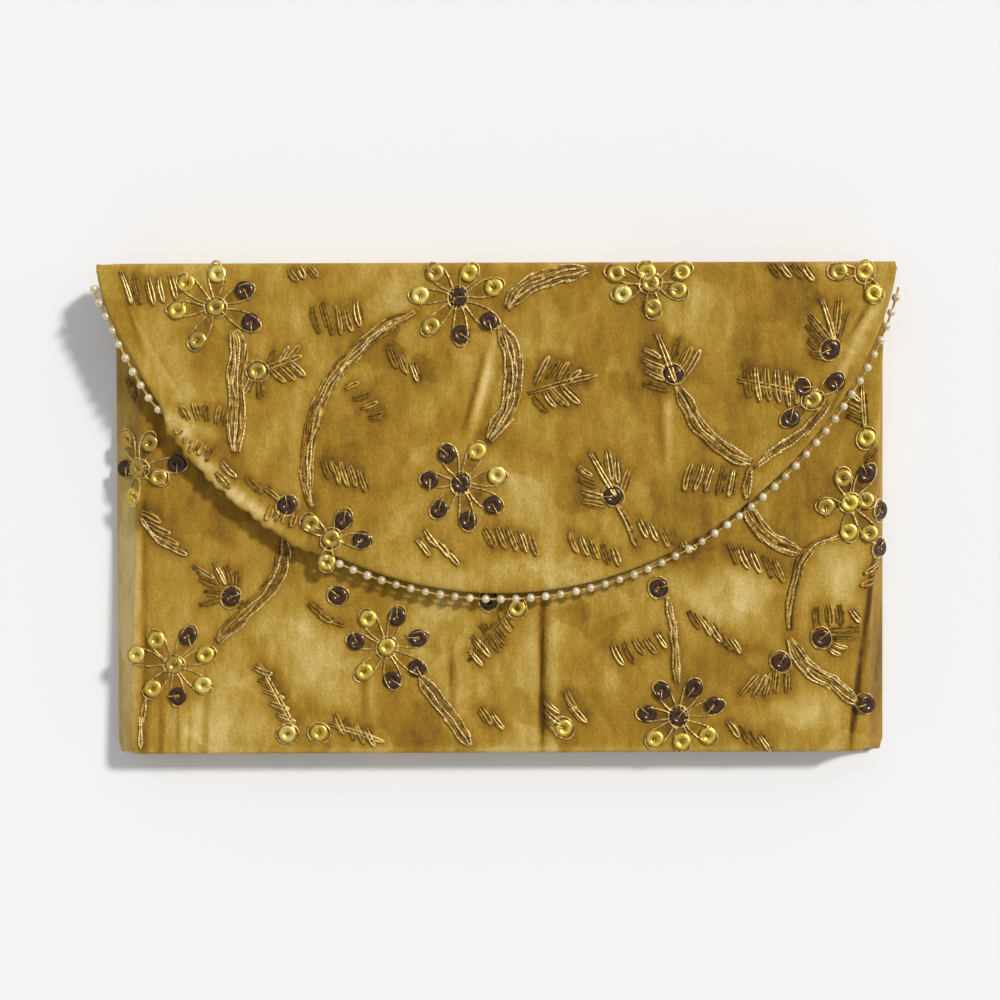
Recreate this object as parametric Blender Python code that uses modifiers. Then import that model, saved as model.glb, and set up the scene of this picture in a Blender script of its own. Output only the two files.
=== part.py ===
"""An envelope clutch bag of embroidered velvet, lying on its back with the flap closed.

X runs along the mouth, +Y is the folded edge that the flap turns on, and +Z is the front.
The back panel, a folding spine and the flap carry boards, so the bag opens at two creases.
"""

import math

import bmesh
import bpy
from mathutils import Matrix, Vector

MM = 0.001

# Outer size of the bag's body
WIDTH = 254 * MM
HEIGHT = 160 * MM
CORNER_RADIUS = 5 * MM
ARC_STEPS = 4
SIDE_STEPS = 4

# Cloth, boards and the clearance that keeps neighbouring pieces apart
COVER = 0.9 * MM
BOARD = 1.2 * MM
LINING = 0.5 * MM
GAP = 0.3 * MM
EDGE_ROUND = 1.3 * MM
POCKET_DEPTH = 8 * MM

# How far the front panel stands in from the back panel's edges
FRONT_LEFT_INSET_MOUTH = 11 * MM
FRONT_LEFT_INSET_FOOT = 6 * MM
FRONT_RIGHT_INSET_MOUTH = 1.5 * MM
FRONT_RIGHT_INSET_FOOT = 8 * MM
FRONT_FOOT_INSET = 1.5 * MM

# The flap's outline: (x / half width)^2 + (depth / FLAP_DEPTH)^FLAP_POWER = 1
FLAP_DEPTH = 106 * MM
FLAP_POWER = 1.55
FLAP_STEPS = 40

# The two creases: their axes, and the room round them that the boards leave
AXIS_SETBACK = 0.5 * MM
BACK_AXIS_Z = 2.6 * MM
STRIP_ROOM = 0.8 * MM
BOARD_ROOM = 1.5 * MM
MOUTH_ROOM = 1.8 * MM
SPINE_END_ROOM = 1 * MM

# The magnetic snap, a stud in a cased ring magnet
SNAP_Y = -6 * MM
SNAP_RADIUS = 7 * MM
SNAP_SHEET = 0.5 * MM
CASE_SHEET = 0.4 * MM
MAGNET_HEIGHT = 0.7 * MM
MAGNET_BORE_RADIUS = 3.6 * MM
CASE_BORE_RADIUS = 3.2 * MM
STUD_RADIUS = 2.5 * MM
STUD_LENGTH = 1.2 * MM
STUD_CHAMFER = 0.5 * MM
WASHER_RADIUS = 6 * MM
WASHER_SHEET = 0.4 * MM
PRONG_OFFSET = 3 * MM
PRONG_WIDTH = 2.4 * MM
PRONG_FOOT = 2 * MM
SLOT_SIZE = (SNAP_SHEET + 2 * GAP, PRONG_WIDTH + 2 * GAP)
TURN_STEPS = 24

# The string of pearls along the flap's edge
PEARL_RADIUS = 1.5 * MM
PEARL_PITCH = 5 * MM
PEARL_GAP = 0.35 * MM
THREAD_RADIUS = 0.5 * MM
PEARL_START_DEPTH = 9 * MM
PEARL_RISE = 1.6 * MM
PEARL_FULL_SHARE = 0.55

# Embroidery: sequins, the stitches between them, and ribbons of chain stitch
SEQUIN_RADIUS = 4 * MM
SEQUIN_TOP_RADIUS = 3 * MM
SEQUIN_HEIGHT = 0.6 * MM
SEQUIN_CUP = 0.3 * MM
SEQUIN_SIDES = 7
STITCH_WIDTH = 1.1 * MM
STITCH_HEIGHT = 0.4 * MM
VINE_HEIGHT = 0.6 * MM
VINE_STEPS = 3
VINE_TIP_SHARE = 0.45
VINE_RIDGE_SHARE = 0.67

# Levels, from the floor up
BACK_BOARD_Z = COVER + GAP
LINING_FLOOR_Z = BACK_BOARD_Z + BOARD + GAP
POCKET_FLOOR_Z = LINING_FLOOR_Z + LINING
POCKET_ROOF_Z = POCKET_FLOOR_Z + POCKET_DEPTH
LINING_ROOF_Z = POCKET_ROOF_Z + LINING
SIDE_LOW_Z = POCKET_FLOOR_Z + GAP
SIDE_HIGH_Z = LINING_ROOF_Z - GAP
FRONT_BOARD_Z = LINING_ROOF_Z + GAP
FRONT_UNDER_Z = FRONT_BOARD_Z + BOARD + GAP
FRONT_TOP_Z = FRONT_UNDER_Z + COVER
SOCKET_Z = FRONT_TOP_Z + GAP
MAGNET_Z = SOCKET_Z + SNAP_SHEET + GAP
CASE_TOP_Z = MAGNET_Z + MAGNET_HEIGHT + GAP + CASE_SHEET
STUD_Z = CASE_TOP_Z + GAP
FLAP_Z = STUD_Z + SNAP_SHEET + GAP
FLAP_BOARD_Z = FLAP_Z + LINING + GAP
FLAP_TOP_Z = FLAP_BOARD_Z + BOARD + GAP + COVER
EMBROIDERY_TOP_Z = FLAP_TOP_Z + GAP + SEQUIN_HEIGHT

# Places along Y
SPINE_Y = HEIGHT / 2
AXIS_Y = SPINE_Y - AXIS_SETBACK
MOUTH_Y = AXIS_Y - MOUTH_ROOM
BOARD_END_Y = AXIS_Y - BOARD_ROOM

# Turned a half turn in all, the flap lies on its embroidery at the level of the back
FLAP_AXIS_Z = EMBROIDERY_TOP_Z - BACK_AXIS_Z

# Soft creases in the front panel, in mm: two ends, half width, and rise (+) or fall (-)
FRONT_CREASES = (
    ((14, -31), (14, -73), 2, -0.2),
    ((18, -31), (18, -73), 2, 0.5),
    ((-16, -45), (-16, -63), 3, -0.2),
    ((-53, -59), (-53, -73), 4, 0.4),
    ((40, -32), (34, -40), 3, 0.4),
)
CREASE_ROW_PITCH = 7
CREASE_LEAST = 0.03 * MM

# Flowers in mm: the middle sequin, then the sequins round it
FLOWERS = {
    "flap_flower_1": ((-90, 65.5), ((-89, 75.5), (-80, 71), (-79, 62), (-96, 56.5), (-102, 66), (-99, 74))),
    "flap_flower_2": ((-12, 67), ((-24, 69), (-1, 72), (-9, 75.5), (-3, 61), (-12, 57), (-21, 60), (-19, 75.5))),
    "flap_flower_3": ((48, 75), ((39, 71), (50, 65), (58, 70), (63, 75.5))),
    "flap_flower_4": ((-12, 10), ((-22, 11), (-17, 19), (-7, 20), (0, 13), (-2, 3), (-10, -2), (-19, 1))),
    "flap_flower_5": ((-54, -8), ((-60, -3), (-50, -1), (-44, -9))),
    "flap_flower_6": ((98, 39), ((106, 42), (92, 31))),
    "flap_flower_7": ((119, 71), ((112, 75),)),
    "front_flower_1": ((-112, 13), ((-112, 23), (-103, 16), (-113, 4))),
    "front_flower_2": ((-108, -50), ((-113, -42), (-103, -41), (-97, -47), (-115, -58), (-107, -62), (-99, -58))),
    "front_flower_3": ((-37, -45), ((-43, -35), (-33, -35), (-27, -42), (-48, -43), (-45, -53), (-36, -56), (-28, -52))),
    "front_flower_4": ((59, -67), ((54, -59), (64, -58), (49, -68), (71, -63), (69, -73), (52, -74), (61, -74))),
    "front_flower_5": ((114, 3), ((106, 2), (112, 12), (119, 11), (114, -6))),
}

# Ribbons of chain stitch in mm: the width, then points chosen along the middle
VINES = {
    "flap_vine_1": (5.5, ((-84, 51), (-85, 43), (-84, 36), (-85, 29), (-85, 21))),
    "flap_vine_2": (4.5, ((-61, 5), (-62, 15), (-60, 27), (-55, 41), (-47, 51), (-38, 59), (-28, 64))),
    "flap_vine_3": (5.5, ((3, 57), (5, 50), (5, 41), (3, 33), (-1, 25))),
    "flap_vine_4": (4.0, ((3, 65), (9, 71), (16, 75), (25, 76))),
    "flap_vine_5": (5.0, ((58, 39), (64, 30), (72, 22), (81, 17))),
    "flap_vine_6": (3.5, ((84, 12), (89, 18.5), (96, 25), (102, 33.5))),
    "flap_vine_7": (3.0, ((40, 1), (43, -6), (45, -12))),
    "front_vine_1": (4.5, ((-72, -15), (-77, -26), (-84, -33), (-92, -40))),
    "front_vine_2": (5.0, ((-24, -58), (-20, -63), (-16, -69), (-12, -75))),
    "front_vine_3": (4.0, ((56, -30), (57, -38), (58, -46), (59, -53))),
    "front_vine_4": (3.5, ((82, 1), (85, -5), (90, -9), (94.5, -11))),
    "front_vine_5": (4.0, ((107, -10), (101, -14), (98, -22), (96, -37))),
    "front_vine_6": (5.0, ((96, -42), (103, -53), (111, -58), (118, -63))),
}

# Ferns in mm: stem's foot and tip, leaves right and left of it, leaf length, and leaf angle in degrees
FERNS = {
    "flap_fern_1": ((-120, 68), (-109, 70), (0, 4), 8, 90),
    "flap_fern_2": ((-77, 46), (-63, 51), (3, 3), 6, 50),
    "flap_fern_3": ((-60, 59), (-46, 60), (0, 5), 7, 100),
    "flap_fern_4": ((10, 38), (28, 45), (4, 4), 6.5, 50),
    "flap_fern_5": ((59, 41), (51, 57), (3, 4), 5.5, 50),
    "flap_fern_6": ((38, 5), (30, 18), (3, 4), 6, 50),
    "flap_fern_7": ((60, 8), (76, 7), (0, 5), 7, 80),
    "flap_fern_8": ((79, 36), (91, 36), (0, 5), 9, 95),
    "flap_fern_9": ((108, 50), (109, 67), (2, 4), 7, 40),
    "front_fern_1": ((-90, -27), (-98, -18), (3, 3), 5, 50),
    "front_fern_2": ((1, -32), (-11, -46), (0, 5), 6, 72),
    "front_fern_3": ((36, -44), (50, -41), (4, 0), 6, 69),
    "front_fern_4": ((111, -46), (109, -32), (4, 1), 7, 80),
    "front_fern_5": ((-79, -54), (-70, -70), (5, 0), 6, 90),
}

VELVET = ((0.45, 0.27, 0.05), 0.75, 0)
CARD = ((0.45, 0.40, 0.32), 0.9, 0)
SATIN = ((0.55, 0.36, 0.10), 0.45, 0)
STEEL = ((0.72, 0.68, 0.60), 0.3, 1)
MAGNET = ((0.06, 0.06, 0.06), 0.5, 1)
PEARL = ((0.80, 0.72, 0.60), 0.25, 0)
GOLD = ((0.75, 0.52, 0.16), 0.35, 0.9)


def clear_scene():
    for obj in list(bpy.data.objects):
        bpy.data.objects.remove(obj, do_unlink=True)


def make_collection(name):
    collection = bpy.data.collections.new(name)
    bpy.context.scene.collection.children.link(collection)
    return collection


def make_axis(name, location):
    """An empty on a crease's axis, which the pieces that turn there are parented to."""
    axis = bpy.data.objects.new(name, None)
    axis.location = location
    bag_parts.objects.link(axis)
    return axis


def material(name, look):
    """A plain surface from its colour, roughness and metallic value, made once for each name."""
    found = bpy.data.materials.get(name)
    if found:
        return found
    colour, roughness, metallic = look
    made = bpy.data.materials.new(name)
    made.use_nodes = True
    shader = made.node_tree.nodes["Principled BSDF"]
    shader.inputs["Base Color"].default_value = (*colour, 1)
    shader.inputs["Roughness"].default_value = roughness
    shader.inputs["Metallic"].default_value = metallic
    return made


def add_part(name, data, look_name, look, axis=None):
    """Links a named part, in its own material, and hangs it from its axis."""
    part = bpy.data.objects.new(name, data)
    data.materials.append(material(look_name, look))
    bag_parts.objects.link(part)
    if axis:
        part.parent = axis
        part.matrix_parent_inverse = Matrix.Translation(axis.location).inverted()
    return part


def add_helper(name, data):
    """A cutter, profile or joining shape, which isn't part of the bag."""
    helper = bpy.data.objects.new(name, data)
    helpers.objects.link(helper)
    helper.hide_render = True
    helper.display_type = "WIRE"
    return helper


def mesh_from(bm, name):
    mesh = bpy.data.meshes.new(name)
    bm.to_mesh(mesh)
    bm.free()
    return mesh


def solidify(part, thickness):
    shell = part.modifiers.new("Cloth", "SOLIDIFY")
    shell.thickness = thickness
    shell.offset = -1
    shell.use_even_offset = True


def round_edges(part):
    edge = part.modifiers.new("Turned edge", "BEVEL")
    edge.width = EDGE_ROUND
    edge.segments = 3
    edge.limit_method = "ANGLE"
    edge.angle_limit = math.radians(60)


def arc(centre, radius, start, end):
    """Points from one angle to another, in degrees."""
    points = []
    for step in range(ARC_STEPS + 1):
        angle = math.radians(start + (end - start) * step / ARC_STEPS)
        points.append((centre[0] + radius * math.cos(angle), centre[1] + radius * math.sin(angle)))
    return points


def side_points(start, end):
    """Evenly spaced points from start, up to but without end."""
    return [tuple(Vector(start).lerp(Vector(end), step / SIDE_STEPS)) for step in range(SIDE_STEPS)]


def body_outline(level, inset, mouth_y):
    """The body seen from the front, from the back panel (level 0) to the front panel (level 1)."""
    left_mouth = -WIDTH / 2 + level * FRONT_LEFT_INSET_MOUTH + inset
    left_foot = -WIDTH / 2 + level * FRONT_LEFT_INSET_FOOT + inset
    right_mouth = WIDTH / 2 - level * FRONT_RIGHT_INSET_MOUTH - inset
    right_foot = WIDTH / 2 - level * FRONT_RIGHT_INSET_FOOT - inset
    foot = -HEIGHT / 2 + level * FRONT_FOOT_INSET + inset
    radius = CORNER_RADIUS - inset
    left_arc = arc((left_foot + radius, foot + radius), radius, 180, 270)
    right_arc = arc((right_foot - radius, foot + radius), radius, 270, 360)
    left_side = side_points((left_mouth, mouth_y), left_arc[0])
    right_side = side_points((right_mouth, mouth_y), right_arc[-1])
    return left_side + left_arc + right_arc + right_side[::-1]


def flap_point(turn, grow):
    """A point of the flap's edge, at an angle from 0 to 180 degrees, moved outwards by grow."""
    x = -(WIDTH / 2 + grow) * math.cos(turn)
    depth = (FLAP_DEPTH + grow) * math.sin(turn) ** (2 / FLAP_POWER)
    return x, SPINE_Y - depth


def flap_outline(inset, back_y):
    """The flap seen from the front, cut straight across at back_y."""
    points = []
    for step in range(FLAP_STEPS + 1):
        point = flap_point(math.pi * step / FLAP_STEPS, -inset)
        points.append((point[0], min(point[1], back_y)))
    return points


def circle(centre, radius, steps=TURN_STEPS):
    points = []
    for step in range(steps):
        angle = 2 * math.pi * step / steps
        points.append((centre[0] + radius * math.cos(angle), centre[1] + radius * math.sin(angle)))
    return points


def rectangle(centre, width, depth):
    x, y = centre
    left, right = x - width / 2, x + width / 2
    front, back = y - depth / 2, y + depth / 2
    return [(left, front), (right, front), (right, back), (left, back)]


def near_segment(point, start, end):
    """The distance to a segment, and how far along it the nearest point is, from 0 to 1."""
    along = end - start
    share = max(0, min(1, (point - start).dot(along) / along.length_squared))
    return (point - start - along * share).length, share


def crease_rise(x, y, creases):
    """How far the cloth lies above its plane: each crease is deepest at its middle."""
    rise = 0
    for start, end, half_width, height in creases:
        distance, share = near_segment(Vector((x, y)) / MM, Vector(start), Vector(end))
        rise += height * MM * math.exp(-((distance / half_width) ** 2)) * math.sin(math.pi * (0.1 + 0.8 * share))
    return rise if abs(rise) > CREASE_LEAST else 0


def cut_rows(bm, places, normal):
    for place in places:
        faces_edges_verts = bm.verts[:] + bm.edges[:] + bm.faces[:]
        bmesh.ops.bisect_plane(bm, geom=faces_edges_verts, plane_co=place, plane_no=normal)


def press_creases(bm, creases):
    """Cuts the flat face along and across the creases and once past their ends, and moves its inner points."""
    columns = set()
    for start, end, half_width, _ in creases:
        middle = (start[0] + end[0]) / 2
        columns.update((middle - half_width, middle, middle + half_width))
    cut_rows(bm, [(x * MM, 0, 0) for x in sorted(columns)], (1, 0, 0))
    low = min(min(start[1], end[1]) for start, end, _, _ in creases)
    high = max(max(start[1], end[1]) for start, end, _, _ in creases) + CREASE_ROW_PITCH
    rows = math.floor((high - low) / CREASE_ROW_PITCH) + 1
    cut_rows(bm, [(0, (low + row * CREASE_ROW_PITCH) * MM, 0) for row in range(rows)], (0, 1, 0))
    for vertex in bm.verts:
        if not vertex.is_boundary:
            vertex.co.z += crease_rise(vertex.co.x, vertex.co.y, creases)


def make_cover(name, outline, face_z, rim_z, mouth_open, axis=None, creases=()):
    """A cloth cover: a face whose edges turn over the board. The edge at the mouth may stay open."""
    bm = bmesh.new()
    bm.faces.new([bm.verts.new((x, y, face_z)) for x, y in outline])
    if creases:
        press_creases(bm, creases)
    mouth_y = max(y for _, y in outline)
    turned = []
    for edge in bm.edges:
        at_mouth = all(mouth_y - v.co.y < GAP for v in edge.verts)
        if edge.is_boundary and not (mouth_open and at_mouth):
            turned.append(edge)
    rim = bmesh.ops.extrude_edge_only(bm, edges=turned)["geom"]
    rim_points = [item for item in rim if isinstance(item, bmesh.types.BMVert)]
    bmesh.ops.translate(bm, verts=rim_points, vec=(0, 0, rim_z - face_z))
    bmesh.ops.recalc_face_normals(bm, faces=bm.faces)
    widest = max(bm.faces, key=lambda face: face.calc_area())
    if widest.normal.z * (face_z - rim_z) < 0:
        bmesh.ops.reverse_faces(bm, faces=bm.faces)
    cover = add_part(name, mesh_from(bm, name), "Velvet", VELVET, axis)
    round_edges(cover)
    solidify(cover, COVER)
    return cover


def make_plate(name, outline, low_z, thickness, look_name, look, axis=None, holes=()):
    """A flat sheet with holes through it."""
    curve = bpy.data.curves.new(name, "CURVE")
    curve.dimensions = "2D"
    curve.fill_mode = "BOTH"
    curve.extrude = thickness / 2
    for loop in (outline, *holes):
        spline = curve.splines.new("POLY")
        spline.points.add(len(loop) - 1)
        for point, (x, y) in zip(spline.points, loop):
            point.co = (x, y, 0, 1)
        spline.use_cyclic_u = True
    plate = add_part(name, curve, look_name, look, axis)
    plate.location.z = low_z + thickness / 2
    return plate


def loft_walls(bm, rows, closed):
    """Walls between rows of points, split along their shorter diagonals so that neighbours stay parallel."""
    walls = []
    pairs = list(zip(rows, rows[1:])) + ([(rows[-1], rows[0])] if closed else [])
    for row, above in pairs:
        for i in range(len(row) - 1):
            walls.append(bm.faces.new((row[i], row[i + 1], above[i + 1], above[i])))
    bmesh.ops.triangulate(bm, faces=walls, quad_method="SHORT_EDGE")


def side_path(level, inset, first, last, shorten):
    """A stretch of the body's outline between two of its points, drawn in at both ends."""
    path = [Vector(point) for point in body_outline(level, inset, MOUTH_Y)[first : last + 1]]
    along = (path[-1] - path[0]).normalized() * shorten
    path[0] = path[0] + along
    path[-1] = path[-1] - along
    return path


def make_strip(name, first, last, shorten=0):
    """A strip of the side, lofted from the back panel's edge up to the front panel's edge."""
    sections = ((0, 0, SIDE_LOW_Z), (1, 0, SIDE_HIGH_Z), (1, COVER, SIDE_HIGH_Z), (0, COVER, SIDE_LOW_Z))
    bm = bmesh.new()
    rows = []
    for level, inset, z in sections:
        path = side_path(level, inset, first, last, shorten)
        rows.append([bm.verts.new((point.x, point.y, z)) for point in path])
    bm.faces.new([row[0] for row in rows])
    bm.faces.new([row[-1] for row in reversed(rows)])
    loft_walls(bm, rows, True)
    bmesh.ops.recalc_face_normals(bm, faces=bm.faces)
    add_part(name, mesh_from(bm, name), "Velvet", VELVET)


def make_sides():
    """The two gussets, which turn the lower corners, and the base strip between them."""
    left_end = SIDE_STEPS + ARC_STEPS
    right_start = left_end + 1
    make_strip("left_gusset", 0, left_end)
    make_strip("right_gusset", right_start, right_start + left_end)
    make_strip("base_strip", left_end, right_start, GAP)


def make_pocket_lining():
    """The inner bag, open at the mouth."""
    bm = bmesh.new()
    rows = []
    for level, z in ((0, LINING_FLOOR_Z), (0, SIDE_LOW_Z), (1, SIDE_HIGH_Z), (1, LINING_ROOF_Z)):
        outline = body_outline(level, COVER + GAP, MOUTH_Y)
        rows.append([bm.verts.new((x, y, z)) for x, y in outline])
    bm.faces.new(rows[0][::-1])
    bm.faces.new(rows[-1])
    loft_walls(bm, rows, False)
    lining = add_part("pocket_lining", mesh_from(bm, "pocket_lining"), "Satin", SATIN)
    solidify(lining, LINING)


def cut(part, cutter):
    boolean = part.modifiers.new("Cut " + cutter.name, "BOOLEAN")
    boolean.operation = "DIFFERENCE"
    boolean.object = cutter


def split_evenly(part):
    """Splits the faces into triangles of good shape, because long slivers make a poor solid."""
    split = part.modifiers.new("Split", "TRIANGULATE")
    split.quad_method = "BEAUTY"
    split.ngon_method = "BEAUTY"


def prong_slots():
    """The outlines of the two slots that the snap's prongs pass through."""
    return [rectangle((side * PRONG_OFFSET, SNAP_Y), *SLOT_SIZE) for side in (-1, 1)]


def snap_hole():
    """The hole in a board that the washer and the bent prongs lie in."""
    return circle((0, SNAP_Y), WASHER_RADIUS + GAP)


def make_body():
    make_cover("back_cover", body_outline(0, 0, SPINE_Y), 0, POCKET_FLOOR_Z, True)
    back_board = body_outline(0, COVER + GAP, MOUTH_Y)
    make_plate("back_board", back_board, BACK_BOARD_Z, BOARD, "Card", CARD)
    make_sides()
    make_pocket_lining()
    front_board = body_outline(1, COVER + GAP, MOUTH_Y - COVER - GAP)
    make_plate("front_board", front_board, FRONT_BOARD_Z, BOARD, "Card", CARD, holes=[snap_hole()])
    front_outline = body_outline(1, 0, MOUTH_Y)
    front = make_cover("front_cover", front_outline, FRONT_TOP_Z, LINING_ROOF_Z, False, creases=FRONT_CREASES)
    for side in (-1, 1):
        bm = bmesh.new()
        place = Matrix.Translation((side * PRONG_OFFSET, SNAP_Y, FRONT_TOP_Z))
        bmesh.ops.create_cube(bm, size=1, matrix=place @ Matrix.Diagonal((*SLOT_SIZE, 4 * COVER, 1)))
        cut(front, add_helper("slot_cutter", mesh_from(bm, "slot_cutter")))
    split_evenly(front)


def make_spine():
    low_z = BACK_AXIS_Z + STRIP_ROOM
    high_z = FLAP_AXIS_Z - STRIP_ROOM
    half = WIDTH / 2 - SPINE_END_ROOM
    lining_y = SPINE_Y - COVER - GAP - LINING
    pieces = (
        ("spine_strip", half, SPINE_Y - COVER, COVER, "Velvet", VELVET),
        ("spine_lining", half - SPINE_END_ROOM, lining_y, LINING, "Satin", SATIN),
    )
    for name, half_width, low_y, thickness, look_name, look in pieces:
        bm = bmesh.new()
        size = (2 * half_width, thickness, high_z - low_z)
        place = Matrix.Translation((0, low_y + thickness / 2, (low_z + high_z) / 2))
        bmesh.ops.create_cube(bm, size=1, matrix=place @ Matrix.Diagonal((*size, 1)))
        add_part(name, mesh_from(bm, name), look_name, look, spine_axis)


def make_flap():
    make_cover("flap_cover", flap_outline(0, SPINE_Y), FLAP_TOP_Z, FLAP_Z, True, flap_axis)
    inner = flap_outline(COVER + GAP, BOARD_END_Y)
    make_plate("flap_board", inner, FLAP_BOARD_Z, BOARD, "Card", CARD, flap_axis, [snap_hole()])
    make_plate("flap_lining", inner, FLAP_Z, LINING, "Satin", SATIN, flap_axis, prong_slots())


def turned(name, profile, closed):
    """A turned shape on the snap's centre line, from (radius, z) points."""
    bm = bmesh.new()
    points = [bm.verts.new((radius, 0, z)) for radius, z in profile]
    for first, second in zip(points, points[1:]):
        bm.edges.new((first, second))
    if closed:
        bm.edges.new((points[-1], points[0]))
    return mesh_from(bm, name)


def spin(part):
    part.location.y = SNAP_Y
    screw = part.modifiers.new("Turned", "SCREW")
    screw.steps = TURN_STEPS
    screw.render_steps = TURN_STEPS
    screw.merge_threshold = 0.00001
    screw.use_merge_vertices = True
    screw.use_smooth_shade = True


def add_box(bm, low, high):
    size = Vector(high) - Vector(low)
    place = Matrix.Translation((Vector(low) + Vector(high)) / 2)
    bmesh.ops.create_cube(bm, size=1, matrix=place @ Matrix.Diagonal((*size, 1)))


def join_to(part, helper):
    """Fuses the shells of the part's own mesh with each other and with the helper."""
    union = part.modifiers.new("Fuse", "BOOLEAN")
    union.operation = "UNION"
    union.use_self = True
    union.object = helper


def add_prongs(part, root_z, bend_z, end_z):
    """Two prongs that leave the plate at root_z and bend outwards between bend_z and end_z."""
    bm = bmesh.new()
    low_y, high_y = -PRONG_WIDTH / 2, PRONG_WIDTH / 2
    half = SNAP_SHEET / 2
    for side in (-1, 1):
        x = side * PRONG_OFFSET
        reach = x + side * (half + PRONG_FOOT)
        add_box(bm, (x - half, low_y, min(root_z, end_z)), (x + half, high_y, max(root_z, end_z)))
        inner, outer = sorted((x - side * half / 2, reach))
        add_box(bm, (inner, low_y, min(bend_z, end_z)), (outer, high_y, max(bend_z, end_z)))
    prongs = add_helper(part.name + "_prongs", mesh_from(bm, part.name + "_prongs"))
    prongs.location.y = SNAP_Y
    join_to(part, prongs)


def make_socket():
    """The half of the snap on the front panel: base plate, ring magnet, case and washer."""
    top = SOCKET_Z + SNAP_SHEET
    profile = ((0, top), (SNAP_RADIUS, top), (SNAP_RADIUS, SOCKET_Z), (0, SOCKET_Z))
    base = add_part("socket_base", turned("socket_base", profile, False), "Snap steel", STEEL)
    spin(base)
    washer_z = FRONT_UNDER_Z - GAP - WASHER_SHEET
    bend_z = washer_z - GAP
    add_prongs(base, SOCKET_Z + SNAP_SHEET / 2, bend_z, bend_z - WASHER_SHEET)
    washer = circle((0, SNAP_Y), WASHER_RADIUS)
    make_plate("socket_washer", washer, washer_z, WASHER_SHEET, "Snap steel", STEEL, holes=prong_slots())

    magnet_radius = SNAP_RADIUS - CASE_SHEET - GAP
    magnet_top = MAGNET_Z + MAGNET_HEIGHT
    profile = (
        (magnet_radius, magnet_top),
        (magnet_radius, MAGNET_Z),
        (MAGNET_BORE_RADIUS, MAGNET_Z),
        (MAGNET_BORE_RADIUS, magnet_top),
    )
    spin(add_part("socket_magnet", turned("socket_magnet", profile, True), "Magnet", MAGNET))

    under = CASE_TOP_Z - CASE_SHEET
    profile = (
        (SNAP_RADIUS - CASE_SHEET, CASE_TOP_Z),
        (SNAP_RADIUS, under),
        (SNAP_RADIUS, MAGNET_Z),
        (SNAP_RADIUS - CASE_SHEET, MAGNET_Z),
        (SNAP_RADIUS - CASE_SHEET, under),
        (CASE_BORE_RADIUS, under),
        (CASE_BORE_RADIUS, CASE_TOP_Z),
    )
    spin(add_part("socket_case", turned("socket_case", profile, True), "Snap steel", STEEL))


def make_stud():
    """The half of the snap on the flap: a plate with a stud, and its washer inside the board."""
    top = STUD_Z + SNAP_SHEET
    foot = STUD_Z - STUD_LENGTH
    profile = (
        (0, top),
        (SNAP_RADIUS, top),
        (SNAP_RADIUS, STUD_Z),
        (STUD_RADIUS, STUD_Z),
        (STUD_RADIUS, foot + STUD_CHAMFER),
        (STUD_RADIUS - STUD_CHAMFER, foot),
        (0, foot),
    )
    stud = add_part("snap_stud", turned("snap_stud", profile, False), "Snap steel", STEEL, flap_axis)
    spin(stud)
    bend_z = FLAP_BOARD_Z + WASHER_SHEET + GAP
    add_prongs(stud, STUD_Z + SNAP_SHEET / 2, bend_z, bend_z + WASHER_SHEET)
    washer = circle((0, SNAP_Y), WASHER_RADIUS)
    make_plate(
        "stud_washer", washer, FLAP_BOARD_Z, WASHER_SHEET, "Snap steel", STEEL, flap_axis, prong_slots()
    )


def even_points(path, pitch):
    """Points a pitch apart along a path of many short steps."""
    points = [path[0]]
    walked = 0
    for first, second in zip(path, path[1:]):
        step = (second - first).length
        while walked + step >= pitch:
            share = (pitch - walked) / step
            first = first.lerp(second, share)
            points.append(first)
            step = (second - first).length
            walked = 0
        walked += step
    return points


def pearl_places():
    """The pearls' centres along the flap's edge, evenly spaced and even on both sides."""
    grow = PEARL_RADIUS + PEARL_GAP
    steps = 20 * FLAP_STEPS
    path = []
    for step in range(steps // 2 + 1):
        x, y = flap_point(math.pi * (0.5 - step / steps), grow)
        if y <= SPINE_Y - PEARL_START_DEPTH:
            path.append(Vector((x, y)))
    left = even_points(path, PEARL_PITCH)
    right = [Vector((-point.x, point.y)) for point in left]
    return list(reversed(right)) + left[1:]


def make_bead_trim():
    """The pearls and their thread as one string: each pearl is a swelling of it."""
    centres = pearl_places()
    swell = PEARL_RADIUS * PEARL_FULL_SHARE
    knots = []
    for i, centre in enumerate(centres):
        before, after = centres[max(i - 1, 0)], centres[min(i + 1, len(centres) - 1)]
        along = (after - before).normalized()
        neck = centre - along * PEARL_PITCH / 2
        knots.append((neck, THREAD_RADIUS))
        knots.append((centre - along * swell, PEARL_RADIUS))
        knots.append((centre + along * swell, PEARL_RADIUS))
    curve = bpy.data.curves.new("bead_trim", "CURVE")
    curve.dimensions = "3D"
    curve.bevel_depth = 1
    curve.bevel_resolution = 1
    curve.use_fill_caps = True
    spline = curve.splines.new("POLY")
    spline.points.add(len(knots) - 1)
    for point, (place, radius) in zip(spline.points, knots):
        point.co = (place.x, place.y, 0, 1)
        point.radius = radius
    trim = add_part("bead_trim", curve, "Pearl", PEARL, flap_axis)
    trim.location.z = FLAP_Z + PEARL_RISE


def carrier(name):
    """The height that a piece of embroidery lies at, and the axis that it turns with."""
    if name.startswith("flap"):
        return FLAP_TOP_Z + GAP, flap_axis
    return FRONT_TOP_Z + GAP, None


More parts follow.
